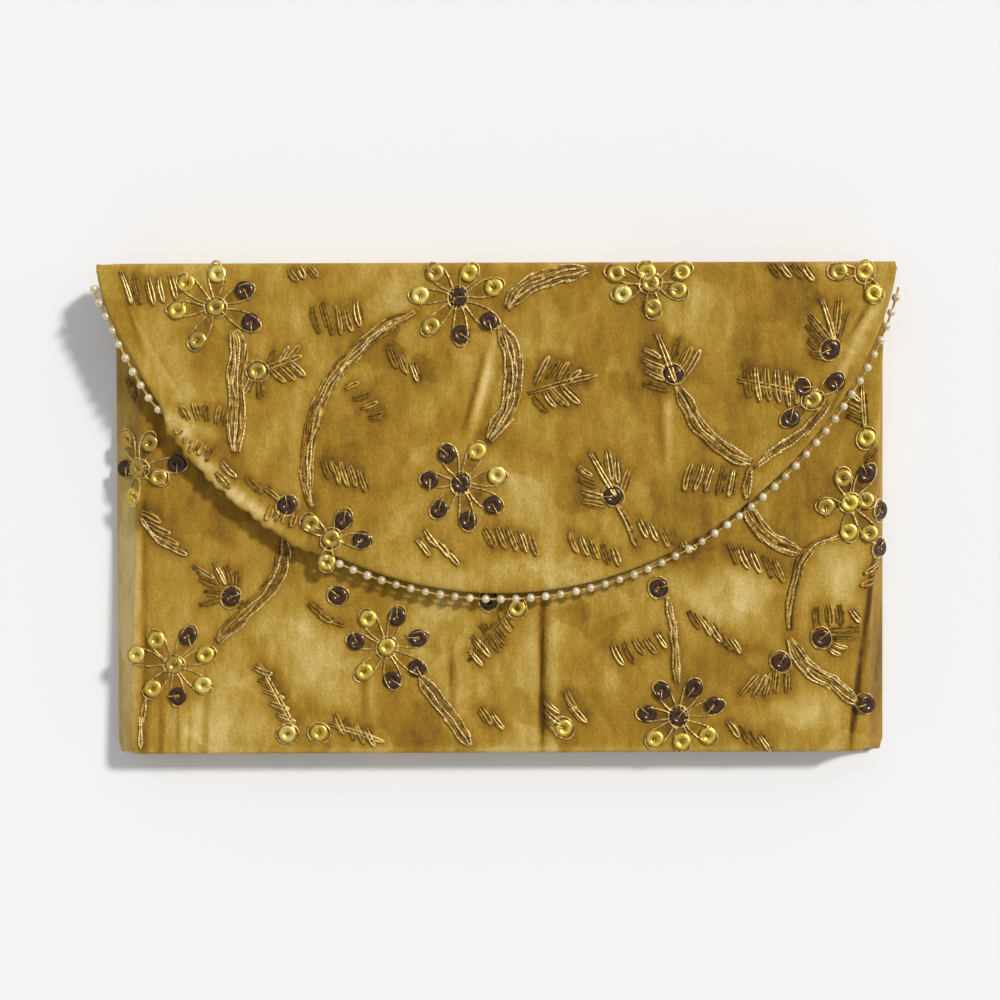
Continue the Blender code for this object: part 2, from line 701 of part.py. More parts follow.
def add_sequin(bm, centre):
    """A cupped disc, with its rim's chamfer and a dimple in the middle."""
    x, y = centre
    place = Matrix.Translation((x * MM, y * MM, SEQUIN_HEIGHT / 2))
    made = bmesh.ops.create_cone(
        bm,
        cap_ends=True,
        segments=SEQUIN_SIDES,
        radius1=SEQUIN_RADIUS,
        radius2=SEQUIN_TOP_RADIUS,
        depth=SEQUIN_HEIGHT,
        matrix=place,
    )
    top = [face for face in {f for v in made["verts"] for f in v.link_faces} if face.normal.z > 0.9]
    bmesh.ops.poke(bm, faces=top, offset=-SEQUIN_CUP)


def add_stitch(bm, start, end, width=STITCH_WIDTH, height=STITCH_HEIGHT):
    """A straight stitch between two points in mm."""
    along = (Vector(end) - Vector(start)) * MM
    middle = (Vector(start) + Vector(end)) * MM / 2
    place = Matrix.Translation((middle.x, middle.y, height / 2))
    turn = Matrix.Rotation(math.atan2(along.y, along.x), 4, "Z")
    size = Matrix.Diagonal((along.length, width, height, 1))
    bmesh.ops.create_cube(bm, size=1, matrix=place @ turn @ size)


def fused_embroidery(name, bm, core):
    """Places a piece of embroidery whose shells are fused with its core."""
    base_z, axis = carrier(name)
    piece = add_part(name, mesh_from(bm, name), "Gold thread", GOLD, axis)
    piece.location.z = base_z
    helper = add_helper(name + "_core", mesh_from(core, name + "_core"))
    helper.location.z = base_z
    join_to(piece, helper)


def make_flower(name, centre, petals):
    """Sequins round a middle one, held by stitches that run out to each."""
    bm = bmesh.new()
    for petal in petals:
        add_sequin(bm, petal)
        add_stitch(bm, centre, petal)
    core = bmesh.new()
    add_sequin(core, centre)
    fused_embroidery(name, bm, core)


def make_fern(name, foot, tip, leaves, length, angle):
    """Slanted stitches on one or both sides of a stem."""
    foot, tip = Vector(foot), Vector(tip)
    along = (tip - foot).normalized()
    bm = bmesh.new()
    for side, count in zip((-1, 1), leaves):
        for leaf in range(count):
            root = foot.lerp(tip, (leaf + 0.5) / count)
            lean = along.copy()
            lean.rotate(Matrix.Rotation(side * math.radians(angle), 2))
            add_stitch(bm, root - lean * STITCH_WIDTH / MM / 4, root + lean * length)
    core = bmesh.new()
    add_stitch(core, foot, tip, height=STITCH_HEIGHT / 2)
    fused_embroidery(name, bm, core)


def ribbon_profile(width):
    """A flat base under three ridges of thread."""
    half = width * MM / 2
    outer, inner = half * VINE_RIDGE_SHARE, half * VINE_RIDGE_SHARE / 2
    ridge, valley = VINE_HEIGHT, VINE_HEIGHT / 2
    curve = bpy.data.curves.new("ribbon_profile", "CURVE")
    curve.dimensions = "2D"
    outline = (
        (-half, 0), (-outer, ridge), (-inner, valley), (0, ridge), (inner, valley), (outer, ridge), (half, 0)
    )
    spline = curve.splines.new("POLY")
    spline.points.add(len(outline) - 1)
    for point, (x, y) in zip(spline.points, outline):
        point.co = (x, y, 0, 1)
    spline.use_cyclic_u = True
    return add_helper("ribbon_profile", curve)


def make_vine(name, width, points):
    """A ribbon of chain stitch that narrows towards both ends."""
    base_z, axis = carrier(name)
    curve = bpy.data.curves.new(name, "CURVE")
    curve.dimensions = "3D"
    curve.twist_mode = "Z_UP"
    curve.resolution_u = VINE_STEPS
    curve.bevel_mode = "OBJECT"
    curve.bevel_object = ribbon_profile(width)
    curve.use_fill_caps = True
    spline = curve.splines.new("BEZIER")
    spline.bezier_points.add(len(points) - 1)
    for i, (point, (x, y)) in enumerate(zip(spline.bezier_points, points)):
        point.co = (x * MM, y * MM, 0)
        point.handle_left_type = "AUTO"
        point.handle_right_type = "AUTO"
        point.radius = VINE_TIP_SHARE if i in (0, len(points) - 1) else 1
    vine = add_part(name, curve, "Gold thread", GOLD, axis)
    vine.location.z = base_z


def make_embroidery():
    for name, (centre, petals) in FLOWERS.items():
        make_flower(name, centre, petals)
    for name, (width, points) in VINES.items():
        make_vine(name, width, points)
    for name, (foot, tip, leaves, length, angle) in FERNS.items():
        make_fern(name, foot, tip, leaves, length, angle)


clear_scene()
bag_parts = make_collection("Clutch bag")
helpers = make_collection("Helpers")
spine_axis = make_axis("spine_axis", (0, AXIS_Y, BACK_AXIS_Z))
flap_axis = make_axis("flap_axis", (0, AXIS_Y, FLAP_AXIS_Z))
make_body()
make_spine()
make_flap()
make_socket()
make_stud()
make_bead_trim()
make_embroidery()
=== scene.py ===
"""Looks of an embroidered velvet clutch bag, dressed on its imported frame.

Sizes are in millimetres and become metres where a mesh is made. X runs along the mouth,
+Y is the folded edge, and +Z is the front, which faces the camera.
"""

import math
import random

import bpy
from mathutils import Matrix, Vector, kdtree, noise


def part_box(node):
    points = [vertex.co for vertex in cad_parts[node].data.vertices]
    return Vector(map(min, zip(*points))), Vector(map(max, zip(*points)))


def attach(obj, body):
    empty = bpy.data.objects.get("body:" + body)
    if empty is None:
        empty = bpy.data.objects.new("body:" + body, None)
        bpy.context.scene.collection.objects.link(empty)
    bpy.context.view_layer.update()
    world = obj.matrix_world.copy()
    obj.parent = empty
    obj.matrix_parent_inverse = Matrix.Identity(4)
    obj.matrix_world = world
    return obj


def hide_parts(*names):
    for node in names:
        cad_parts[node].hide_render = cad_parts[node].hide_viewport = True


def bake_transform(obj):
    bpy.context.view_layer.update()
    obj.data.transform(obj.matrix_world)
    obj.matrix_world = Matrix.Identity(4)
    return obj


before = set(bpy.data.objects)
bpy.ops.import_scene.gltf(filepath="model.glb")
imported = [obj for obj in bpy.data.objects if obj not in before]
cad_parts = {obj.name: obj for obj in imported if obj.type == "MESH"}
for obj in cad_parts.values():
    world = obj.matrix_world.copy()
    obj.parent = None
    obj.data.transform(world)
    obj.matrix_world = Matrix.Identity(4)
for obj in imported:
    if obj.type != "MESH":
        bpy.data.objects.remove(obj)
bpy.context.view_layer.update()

MM = 0.001
random.seed(7)

# The bag's outline, as in the frame
HALF_WIDTH = 127
BACK_FOOT_Y = -80
SPINE_Y = 80
MOUTH_Y = 77.7
PANEL_LEFT = (-121, -116)
PANEL_RIGHT = (119, 125.5)
PANEL_FOOT_Y = -78.5
CORNER = 3

# Levels and the cloth's thickness
FRONT_Z = 14.4
PANEL_RIM_Z = 11.75
BACK_RIM_Z = 3.3
FLAP_Z = 21.2
FLAP_RIM_Z = 18.0
MID_SPINE_Z = 10.9
CLOTH = 0.6
ROLL = 1.6
FLAP_ROLL = 1.2
SPINE_ROLL = 2.8

# The flap's edge
FLAP_DEPTH = 106
FLAP_POWER = 1.55

# How finely the cloths are divided
FRONT_COLUMNS, FRONT_ROWS = 250, 116
FLAP_COLUMNS, FLAP_ROWS = 400, 80
BACK_COLUMNS, BACK_ROWS = 64, 42
ROLL_STEPS = 4
SLOPE_STEPS = 8
SPINE_STEPS = 8
HEM_STEPS = 2
UNDER_STEPS = 3

# Where the flap's edge is gathered over the pearls, and where they are tucked in, in degrees round it
GATHERED = (36, 61)
TUCKED = (35, 60)

# The pearls, and how far out from the edge, in under it and down they lie
PEARL_RADII = (1.25, 1.42)
PEARL_PITCH = 4.85
PEARL_THREAD = 0.36
PEARL_START = 8
PEARL_STEPS = 1600
PEARL_OUT = 1.85
TUCK_IN = 1.7
TUCK_DOWN = 3.3

# How strong a fold, or a painted line of light or shade, is at its ends, as a share of its middle
FOLD_ENDS = 0.4
SHADING_LINE_ENDS = 0.35

TABLE_REACH = 3000
TABLE_DROP = 0.2
UP = Vector((0, 0, 1))


# Helpers for meshes


def lerp(a, b, t):
    return a + (b - a) * t


def smooth(t):
    t = max(0.0, min(1.0, t))
    return t * t * (3 - 2 * t)


def window(value, low, high, soft):
    """1 between low and high, falling to 0 over a soft margin outside."""
    return smooth((value - low + soft) / soft) * smooth((high + soft - value) / soft)


def new_object(name, points, faces, material, shade_smooth=True):
    """A mesh object from points in millimetres."""
    mesh = bpy.data.meshes.new(name)
    mesh.from_pydata([(x * MM, y * MM, z * MM) for x, y, z in points], [], faces)
    mesh.update()
    mesh.polygons.foreach_set("use_smooth", [shade_smooth] * len(mesh.polygons))
    obj = bpy.data.objects.new(name, mesh)
    bpy.context.scene.collection.objects.link(obj)
    mesh.materials.append(material)
    return obj


def thicken(obj):
    shell = obj.modifiers.new("Thickness", "SOLIDIFY")
    shell.thickness = CLOTH * MM
    shell.offset = -1


# The cloth's surfaces, as heights


# Folds in the cloth: two ends, half width, and rise (+) or fall (-)
FRONT_FOLDS = (
    ((13.6, -26), (13.2, -78), 1.0, -0.9),
    ((17.2, -30), (17.0, -78), 2.2, 0.6),
    ((9.5, -32), (9.6, -74), 1.6, 0.25),
    ((-16, -44), (-16, -64), 0.9, -0.45),
    ((-12.5, -44), (-12.5, -64), 2.0, 0.35),
    ((-42, -48), (-42, -68), 1.8, 0.5),
    ((-45, -48), (-45, -66), 1.0, -0.3),
    ((-53, -58), (-53, -77), 4.0, 0.3),
    ((-108, -58), (-108, -78), 1.1, -0.45),
    ((-104, -60), (-104, -78), 2.0, 0.3),
    ((-97, -64), (-98, -78), 1.0, -0.35),
    ((-88, -66), (-90, -78), 1.2, -0.3),
    ((46, -31), (35, -40), 2.0, 0.45),
    ((44, -33), (30, -46), 1.0, -0.3),
    ((-30, -66), (-22, -78), 2.0, 0.35),
    ((88, -62), (96, -77), 2.5, 0.35),
    ((-86, 0), (-92, -22), 2.5, 0.3),
    ((-114.4, 22), (-115.2, -77), 0.9, -0.55),
    ((123.3, -8), (117.2, -46), 0.9, -0.55),
    ((117.2, -46), (113.4, -77), 0.9, -0.55),
)
FLAP_FOLDS = (
    ((-4.4, 54), (-9.6, 25), 1.9, 0.3),
    ((-7.5, 52), (-12.5, 27), 1.6, -0.3),
    ((-1.5, 52), (-6.5, 27), 1.6, -0.25),
    ((53.5, 38), (53.8, 16), 1.8, 0.28),
    ((50.5, 36), (50.8, 18), 1.5, -0.2),
    ((-62, 40), (-66, 12), 2.5, 0.22),
    ((26, 66), (22, 46), 2.5, 0.2),
    ((82, 60), (84, 44), 2.5, 0.2),
)


def near_segment(x, y, start, end):
    """The distance to a segment, and how far along it the nearest point is."""
    dx, dy = end[0] - start[0], end[1] - start[1]
    share = ((x - start[0]) * dx + (y - start[1]) * dy) / (dx * dx + dy * dy)
    share = max(0.0, min(1.0, share))
    return math.hypot(x - start[0] - dx * share, y - start[1] - dy * share), share


def line_marks(x, y, lines, ends):
    """What all the lines add at a point: each is full at its middle, and a share of that at its ends."""
    total = 0
    for start, end, half_width, value in lines:
        distance, share = near_segment(x, y, start, end)
        if distance < 3 * half_width:
            along = ends + (1 - ends) * math.sin(math.pi * share)
            total += value * math.exp(-((distance / half_width) ** 2)) * along
    return total


def soft_noise(x, y, pitch, seed):
    return noise.noise(Vector((x / pitch, y / pitch, seed)))


def panel_sides(y):
    """The front panel's left and right edges at this height."""
    share = (y - PANEL_FOOT_Y) / (MOUTH_Y - PANEL_FOOT_Y)
    return lerp(PANEL_LEFT[0], PANEL_LEFT[1], share), lerp(PANEL_RIGHT[0], PANEL_RIGHT[1], share)


def front_plain(x, y):
    """The front panel's height away from its edges."""
    left, right = panel_sides(y)
    inside = min(x - left, right - x, y - PANEL_FOOT_Y, MOUTH_Y - y)
    waves = 0.3 * soft_noise(x, y * 0.6, 38, 3.1) + 0.2 * soft_noise(x, y * 0.8, 13, 8.7)
    folds = line_marks(x, y, FRONT_FOLDS, FOLD_ENDS)
    return FRONT_Z + 0.1 + smooth(inside / 9) * waves + smooth(inside / 3) * folds


def slope_height(out, reach, top):
    """The height on a side strip, out beyond the flat part, where the strip reaches out so far."""
    if out <= 0:
        return top
    if out < ROLL:
        return top - ROLL + math.sqrt(ROLL**2 - out**2)
    share = (out - ROLL) / max(reach, 0.4)
    return lerp(top - ROLL, BACK_RIM_Z, min(1, share))


def front_height(x, y):
    """The height of the front cloth anywhere, also on the side strips."""
    left, right = panel_sides(y)
    top = front_plain(min(max(x, left + ROLL), right - ROLL), max(y, PANEL_FOOT_Y + ROLL))
    over_left = slope_height(left + ROLL - x, left + HALF_WIDTH, top)
    over_right = slope_height(x - right + ROLL, HALF_WIDTH - right, top)
    over_foot = slope_height(PANEL_FOOT_Y + ROLL - y, PANEL_FOOT_Y - BACK_FOOT_Y, top)
    return min(over_left, over_right, over_foot)


def edge_overhang(turn):
    """How far the edge bulges out: at the corner, and over the pearls where it is gathered."""
    degrees = math.degrees(turn)
    corner = 1.7 * window(degrees, -1, 10, 14)
    gathers = 0.3 * math.sin(degrees * 1.3) + 0.3 * math.sin(degrees * 2.9)
    gathers += 0.15 * math.sin(degrees * 3.7 + 1)
    return corner + (3.4 + gathers) * window(degrees, *GATHERED, 5)


def flap_point(turn, grow):
    """A point of the flap's edge, at an angle from 0 at the left to pi at the right."""
    x = -(HALF_WIDTH + grow) * math.cos(turn)
    depth = (FLAP_DEPTH + grow) * math.sin(turn) ** (2 / FLAP_POWER)
    return x, SPINE_Y - depth


def flap_turn(x, y):
    """The angle at which the edge is nearest to a point."""
    depth = max(0.0, (SPINE_Y - y) / FLAP_DEPTH) ** (FLAP_POWER / 2)
    return math.atan2(depth, -x / HALF_WIDTH)


def inside_flap(x, y):
    """How far a point lies inside the flap's edge."""
    depth = max(0.001, (SPINE_Y - y) / FLAP_DEPTH)
    value = (x / HALF_WIDTH) ** 2 + depth**FLAP_POWER
    steep_x = 2 * x / HALF_WIDTH**2
    steep_y = FLAP_POWER * depth ** (FLAP_POWER - 1) / FLAP_DEPTH
    return (1 - value) / max(0.002, math.hypot(steep_x, steep_y)) + edge_overhang(flap_turn(x, y))


def flap_height(x, y):
    """The height of the flap's cloth."""
    inside = inside_flap(x, y)
    calm = smooth(inside / 10) * smooth((SPINE_Y - y) / 8)
    waves = 0.22 * soft_noise(x, y, 34, 5.3) + 0.1 * soft_noise(x, y, 13, 1.9)
    hem = window(x, -127, -104, 8) + window(x, 106, 127, 8)
    hem_groove = -0.3 * hem * math.exp(-(((inside - 8) / 0.9) ** 2))
    degrees = math.degrees(flap_turn(x, y))
    near_edge = math.exp(-((inside - 3.5) ** 2) / 14)
    ripple = 0.42 * window(degrees, 33, 63, 5) * near_edge * math.sin(degrees * 3.6)
    rise = calm * (waves + line_marks(x, y, FLAP_FOLDS, FOLD_ENDS)) + hem_groove + ripple
    out = FLAP_ROLL - inside
    if out > 0:
        rise -= FLAP_ROLL - math.sqrt(max(0.0, FLAP_ROLL**2 - min(out, FLAP_ROLL) ** 2))
    return FLAP_Z + rise


# Cloth meshes


def grid_faces(columns, rows):
    """Faces of a grid whose points run along its columns first."""
    faces = []
    for row in range(rows):
        for column in range(columns):
            corner = row * (columns + 1) + column
            faces.append((corner, corner + 1, corner + columns + 2, corner + columns + 1))
    return faces


def round_corner(x, y, left, right, foot, radius):
    """Moves a point of a square lower corner into a rounded one."""
    for side, edge in ((-1, left), (1, right)):
        a = side * (x - edge) + radius
        b = foot + radius - y
        if a > 0 and b > 0:
            reach = max(a, b)
            angle = math.pi / 4 * b / a if a >= b else math.pi / 2 - math.pi / 4 * a / b
            centre = edge - side * radius
            return centre + side * reach * math.cos(angle), foot + radius - reach * math.sin(angle)
    return x, y


def outward(x, y, left, right, foot, radius):
    """The direction out of a panel's rounded edge."""
    nearest = Vector((min(max(x, left + radius), right - radius), max(y, foot + radius)))
    away = Vector((x, y)) - nearest
    return away.normalized()


def boundary(columns, rows):
    """The grid's edge points from the top left, round the foot, to the top right."""
    left = [row * (columns + 1) for row in range(rows, 0, -1)]
    foot = list(range(columns + 1))
    right = [row * (columns + 1) + columns for row in range(1, rows + 1)]
    return left + foot + right


def join_rows(faces, first, second, flip=False):
    for a, b, c, d in zip(first, first[1:], second[1:], second):
        faces.append((a, d, c, b) if flip else (a, b, c, d))


def add_rows(points, faces, edge, steps, place, flip=False):
    """Rows swept from an edge, where place turns an edge's point into the same point of a row."""
    rows = [edge]
    for step in range(1, steps + 1):
        row = []
        for number, index in enumerate(edge):
            row.append(len(points))
            points.append(place(step, number, *points[index]))
        join_rows(faces, rows[-1], row, flip)
        rows.append(row)
    return rows


def last_row(columns, rows):
    return list(range(rows * (columns + 1), (rows + 1) * (columns + 1)))


def rolled(step):
    """How far round the roll of an edge a row lies, as an angle."""
    return math.pi / 2 * min(1, step / ROLL_STEPS)


def beyond(step, steps):
    """How far a row lies beyond the roll, as a share of the rows there."""
    return max(0, step - ROLL_STEPS) / steps


def front_cloth_mesh():
    """One cloth over the front panel, down both side strips and the foot, with the mouth's hem turned in."""
    radius = CORNER - ROLL
    foot = PANEL_FOOT_Y + ROLL
    points = []
    for row in range(FRONT_ROWS + 1):
        y = lerp(foot, MOUTH_Y - ROLL, row / FRONT_ROWS)
        left, right = panel_sides(y)
        for column in range(FRONT_COLUMNS + 1):
            x = lerp(left + ROLL, right - ROLL, column / FRONT_COLUMNS)
            x, new_y = round_corner(x, y, left + ROLL, right - ROLL, foot, radius)
            points.append((x, new_y, front_plain(x, new_y)))
    faces = grid_faces(FRONT_COLUMNS, FRONT_ROWS)

    def strip_point(step, _, x, y, z):
        left, right = panel_sides(y)
        n = outward(x, y, left + ROLL, right - ROLL, foot, radius)
        angle, share = rolled(step), beyond(step, SLOPE_STEPS)
        reach_x = left + HALF_WIDTH if n.x < 0 else HALF_WIDTH - right
        reach_y = PANEL_FOOT_Y - BACK_FOOT_Y
        sag = share - 0.1 * math.sin(math.pi * share)
        wave = 0.35 * math.sin(math.pi * share) * soft_noise(x * 1.3, y, 16, 12.5)
        out = ROLL * math.sin(angle) + wave
        spread = max(abs(n.x), abs(n.y)) ** (-0.85 * share)
        height = lerp(z - ROLL * (1 - math.cos(angle)), BACK_RIM_Z, share)
        return x + n.x * spread * (out + reach_x * sag), y + n.y * spread * (out + reach_y * sag), height

    def hem_point(step, _, x, y, z):
        angle, deeper = rolled(step), beyond(step, HEM_STEPS)
        drop = ROLL * (1 - math.cos(angle))
        return x, y + ROLL * math.sin(angle) - 0.3 * deeper, lerp(z - drop, PANEL_RIM_Z, deeper)

    edge = boundary(FRONT_COLUMNS, FRONT_ROWS)
    add_rows(points, faces, edge, ROLL_STEPS + SLOPE_STEPS, strip_point, flip=True)
    add_rows(points, faces, last_row(FRONT_COLUMNS, FRONT_ROWS), ROLL_STEPS + HEM_STEPS, hem_point)
    return points, faces


def flap_cloth_mesh():
    """One cloth over the flap, its rolled edge and the upper half of the spine."""
    back_y = SPINE_Y - SPINE_ROLL
    edge_points = []
    normals = []
    overhangs = []
    for column in range(FLAP_COLUMNS + 1):
        turn = math.pi * column / FLAP_COLUMNS
        x, y = flap_point(turn, -FLAP_ROLL)
        edge_points.append((x, min(y, back_y)))
        along = Vector(flap_point(min(math.pi, turn + 0.01), 0)) - Vector(flap_point(max(0, turn - 0.01), 0))
        normals.append(Vector((along.y, -along.x)).normalized())
        overhangs.append(edge_overhang(turn))
    points = []
    for row in range(FLAP_ROWS + 1):
        for (x, y), n, overhang in zip(edge_points, normals, overhangs):
            point_y = lerp(y, back_y, row / FLAP_ROWS)
            out = overhang * math.exp(-(((point_y - y) / 12) ** 2))
            moved_x, moved_y = x + n.x * out, point_y + n.y * out
            points.append((moved_x, moved_y, flap_height(moved_x, moved_y)))
    faces = grid_faces(FLAP_COLUMNS, FLAP_ROWS)

    def rim_point(step, number, x, y, z):
        n, angle, under = normals[number], rolled(step), beyond(step, UNDER_STEPS)
        out = FLAP_ROLL * math.sin(angle) - 1.1 * under * under
        height = lerp(z - FLAP_ROLL * (1 - math.cos(angle)), FLAP_RIM_Z, under)
        return x + n.x * out, min(y + n.y * out, SPINE_Y - 0.4), height

    rim = list(range(FLAP_COLUMNS + 1))
    rim_rows = add_rows(points, faces, rim, ROLL_STEPS + UNDER_STEPS, rim_point, flip=True)
    spine_rows = add_spine_rows(points, faces, last_row(FLAP_COLUMNS, FLAP_ROWS), SPINE_ROLL, False)
    close_corner(points, faces, rim_rows, spine_rows, 0)
    close_corner(points, faces, rim_rows, spine_rows, FLAP_COLUMNS)
    return points, faces


def close_corner(points, faces, rim_rows, spine_rows, column):
    """A strip between the rolled rim and the rolled spine at one end of the folded edge."""
    for rim, next_rim, spine, next_spine in zip(rim_rows, rim_rows[1:], spine_rows, spine_rows[1:]):
        a, b, c, d = rim[column], next_rim[column], next_spine[column], spine[column]
        face = (b, c, d) if a == d else (a, b, c, d)
        faces.append(face if column else face[::-1])


def add_spine_rows(points, faces, top, roll, flip):
    """Rows that turn over the folded edge and run along the spine to its middle."""

    def spine_point(step, _, x, y, z):
        angle, share = rolled(step), beyond(step, SPINE_STEPS)
        down = 1 if MID_SPINE_Z < z else -1
        height = lerp(z - down * roll * (1 - math.cos(angle)), MID_SPINE_Z, share)
        return x * lerp(1, 1.006, math.sin(angle)), y + roll * math.sin(angle), height

    return add_rows(points, faces, top, ROLL_STEPS + SPINE_STEPS, spine_point, flip)


def back_cloth_mesh():
    """One cloth over the back panel, its rim and the lower half of the spine."""
    radius = CORNER - ROLL
    left, right, foot = -HALF_WIDTH + ROLL, HALF_WIDTH - ROLL, BACK_FOOT_Y + ROLL
    points = []
    for row in range(BACK_ROWS + 1):
        y = lerp(foot, SPINE_Y - ROLL, row / BACK_ROWS)
        for column in range(BACK_COLUMNS + 1):
            x, new_y = round_corner(lerp(left, right, column / BACK_COLUMNS), y, left, right, foot, radius)
            points.append((x, new_y, 0))
    faces = [face[::-1] for face in grid_faces(BACK_COLUMNS, BACK_ROWS)]

    def rim_point(step, _, x, y, z):
        n = outward(x, y, left, right, foot, radius)
        angle = rolled(step)
        out = ROLL * math.sin(angle)
        height = lerp(z + ROLL * (1 - math.cos(angle)), BACK_RIM_Z, beyond(step, HEM_STEPS))
        return x + n.x * out, y + n.y * out, height

    edge = [index for index in boundary(BACK_COLUMNS, BACK_ROWS) if points[index][1] < MOUTH_Y - 1]
    add_rows(points, faces, edge, ROLL_STEPS + HEM_STEPS, rim_point)
    add_spine_rows(points, faces, last_row(BACK_COLUMNS, BACK_ROWS), ROLL, True)
    return points, faces


# Threads: tubes along paths that follow the cloth


def through(points, pitch=0.5):
    """A smooth path through given points, in steps of about the pitch."""
    knots = [Vector(p) for p in points]
    knots = [2 * knots[0] - knots[1]] + knots + [2 * knots[-1] - knots[-2]]
    path = []
    for before, a, b, after in zip(knots, knots[1:], knots[2:], knots[3:]):
        steps = max(1, round((b - a).length / pitch))
        for step in range(steps):
            t = step / steps
            path.append(
                0.5 * (2 * a + (b - before) * t + (2 * before - 5 * a + 4 * b - after) * t * t
                       + (3 * a - 3 * b + after - before) * t**3)
            )
    path.append(knots[-2])
    return path


def directions(path):
    """The direction along a path at each of its points."""
    last = len(path) - 1
    return [(path[min(i + 1, last)] - path[max(i - 1, 0)]).normalized() for i in range(len(path))]


def level_across(along):
    """The level direction across a thread, or X where the thread stands upright."""
    across = along.cross(UP)
    return across.normalized() if across.length > 1e-4 else Vector((1, 0, 0))


def around(radius, angle, *level):
    """A vector of a circle, with its height where one is given."""
    return Vector((radius * math.cos(angle), radius * math.sin(angle), *level))


class Threads:
    """Tubes collected into one mesh."""

    def __init__(self):
        self.points = []
        self.faces = []

    def tube(self, path, radius, sides=6, taper=0.0):
        """A tube along a path of 3D points, thinner at its ends where it tapers."""
        count = len(path)
        first = len(self.points)
        for i, (centre, along) in enumerate(zip(path, directions(path))):
            across = level_across(along)
            lift = across.cross(along).normalized()
            ends = min(i, count - 1 - i) / max(1, (count - 1) / 2)
            size = radius * (1 - taper + taper * math.sin(math.pi / 2 * min(1, 2 * ends)))
            for side in range(sides):
                angle = 2 * math.pi * side / sides
                self.points.append(centre + across * size * math.cos(angle) + lift * size * math.sin(angle))
        for i in range(count - 1):
            ring = first + i * sides
            for side in range(sides):
                other = (side + 1) % sides
                self.faces.append((ring + side, ring + side + sides, ring + other + sides, ring + other))
        self.faces.append(tuple(first + side for side in range(sides)))
        last = first + (count - 1) * sides
        self.faces.append(tuple(last + side for side in reversed(range(sides))))

    def twisted(self, path, ply_radius, twist_radius, pitch, sides=5, phase=0.0, taper=0.3):
        """Two strands wound round each other along a path."""
        walked = 0
        strands = ([], [])
        for i, (centre, along) in enumerate(zip(path, directions(path))):
            if i:
                walked += (centre - path[i - 1]).length
            across = level_across(along)
            for ply, strand in enumerate(strands):
                angle = phase + math.pi * ply + 2 * math.pi * walked / pitch
                rise = UP * 0.7 * twist_radius * math.sin(angle)
                strand.append(centre + across * twist_radius * math.cos(angle) + rise)
        for strand in strands:
            self.tube(strand, ply_radius, sides, taper)


def seated(path, height, lift):
    """A flat path laid on the cloth, lifted by so much."""
    return [Vector((p.x, p.y, height(p.x, p.y) + lift)) for p in path]


# The embroidery's pattern: sequins are g gold, b bright gold, o dull gold, d dark


FLAP_FLOWERS = (
    ((-90.5, 66.6, "o"), ((-89.8, 78.0, "b"), (-81.2, 72.0, "d"), (-79.1, 61.8, "d"), (-96.3, 56.2, "o"),
                          (-102.6, 65.7, "g"), (-99.7, 74.3, "g"))),
    ((-13.2, 69.6, "d"), ((-25.3, 70.2, "b"), (-1.8, 72.7, "g"), (-9.7, 78.4, "g"), (-3.4, 61.9, "d"),
                          (-12.3, 57.8, "d"), (-21.9, 60.4, "o"), (-20.5, 78.0, "o"))),
    ((48.0, 73.8, "o"), ((39.2, 70.3, "b"), (46.9, 77.9, "g"), (48.8, 66.2, "o"), (56.7, 71.6, "o"),
                         (58.0, 78.4, "o"), (37.0, 77.0, "o"))),
    ((-12.5, 10.4, "d"), ((-22.4, 11.4, "d"), (-16.9, 19.7, "d"), (-7.4, 20.6, "g"), (-1.0, 12.9, "b"),
                          (-2.4, 3.4, "d"), (-10.3, -1.4, "d"), (-19.6, 2.2, "d"))),
    ((-54.0, -7.2, "o"), ((-60.4, -2.4, "o"), (-49.9, -1.4, "d"), (-44.2, -7.6, "d"), (-55.6, -14.6, "g"))),
    ((99.6, 36.6, "o"), ((96.8, 40.6, "d"), (107.0, 42.2, "d"), (92.7, 30.6, "d"))),
    ((116.4, 77.4, "g"), ((119.2, 70.4, "g"), (108.0, 77.6, "o"))),
)
FRONT_FLOWERS = (
    ((-117.2, 15.4, "o"), ((-122.3, 25.0, "o"), (-113.4, 23.6, "o"), (-122.6, 15.6, "d"), (-110.6, 12.6, "o"),
                           (-119.1, 6.4, "g"), (-104.5, 16.9, "d"))),
    ((-105.9, -48.3, "o"), ((-111.7, -40.1, "g"), (-118.2, -44.8, "b"), (-101.3, -38.8, "d"),
                            (-95.8, -45.0, "g"), (-112.9, -55.9, "g"), (-104.6, -58.2, "d"),
                            (-96.6, -54.8, "b"))),
    ((-36.9, -42.6, "g"), ((-43.0, -33.5, "g"), (-33.6, -32.9, "d"), (-26.8, -39.8, "d"), (-46.9, -40.7, "d"),
                           (-44.4, -50.7, "g"), (-35.3, -53.4, "d"), (-27.2, -49.5, "d"))),
    ((57.7, -65.7, "d"), ((52.2, -57.3, "d"), (62.6, -56.3, "d"), (47.7, -64.7, "d"), (69.1, -61.9, "d"),
                          (67.1, -72.0, "g"), (49.9, -73.0, "g"), (58.7, -73.8, "g"))),
    ((113.2, 3.5, "g"), ((105.6, 2.2, "o"), (118.4, 4.4, "o"), (111.0, 11.6, "o"), (118.6, 13.0, "d"),
                         (112.9, -5.9, "g"), (119.6, -6.4, "o"))),
)
FLAP_SINGLES = (
    (-77.3, 46.3, "o"), (55.1, 44.9, "d"), (35.9, 6.1, "d"), (105.4, 52.7, "d"), (-68.0, 3.6, "d"),
)
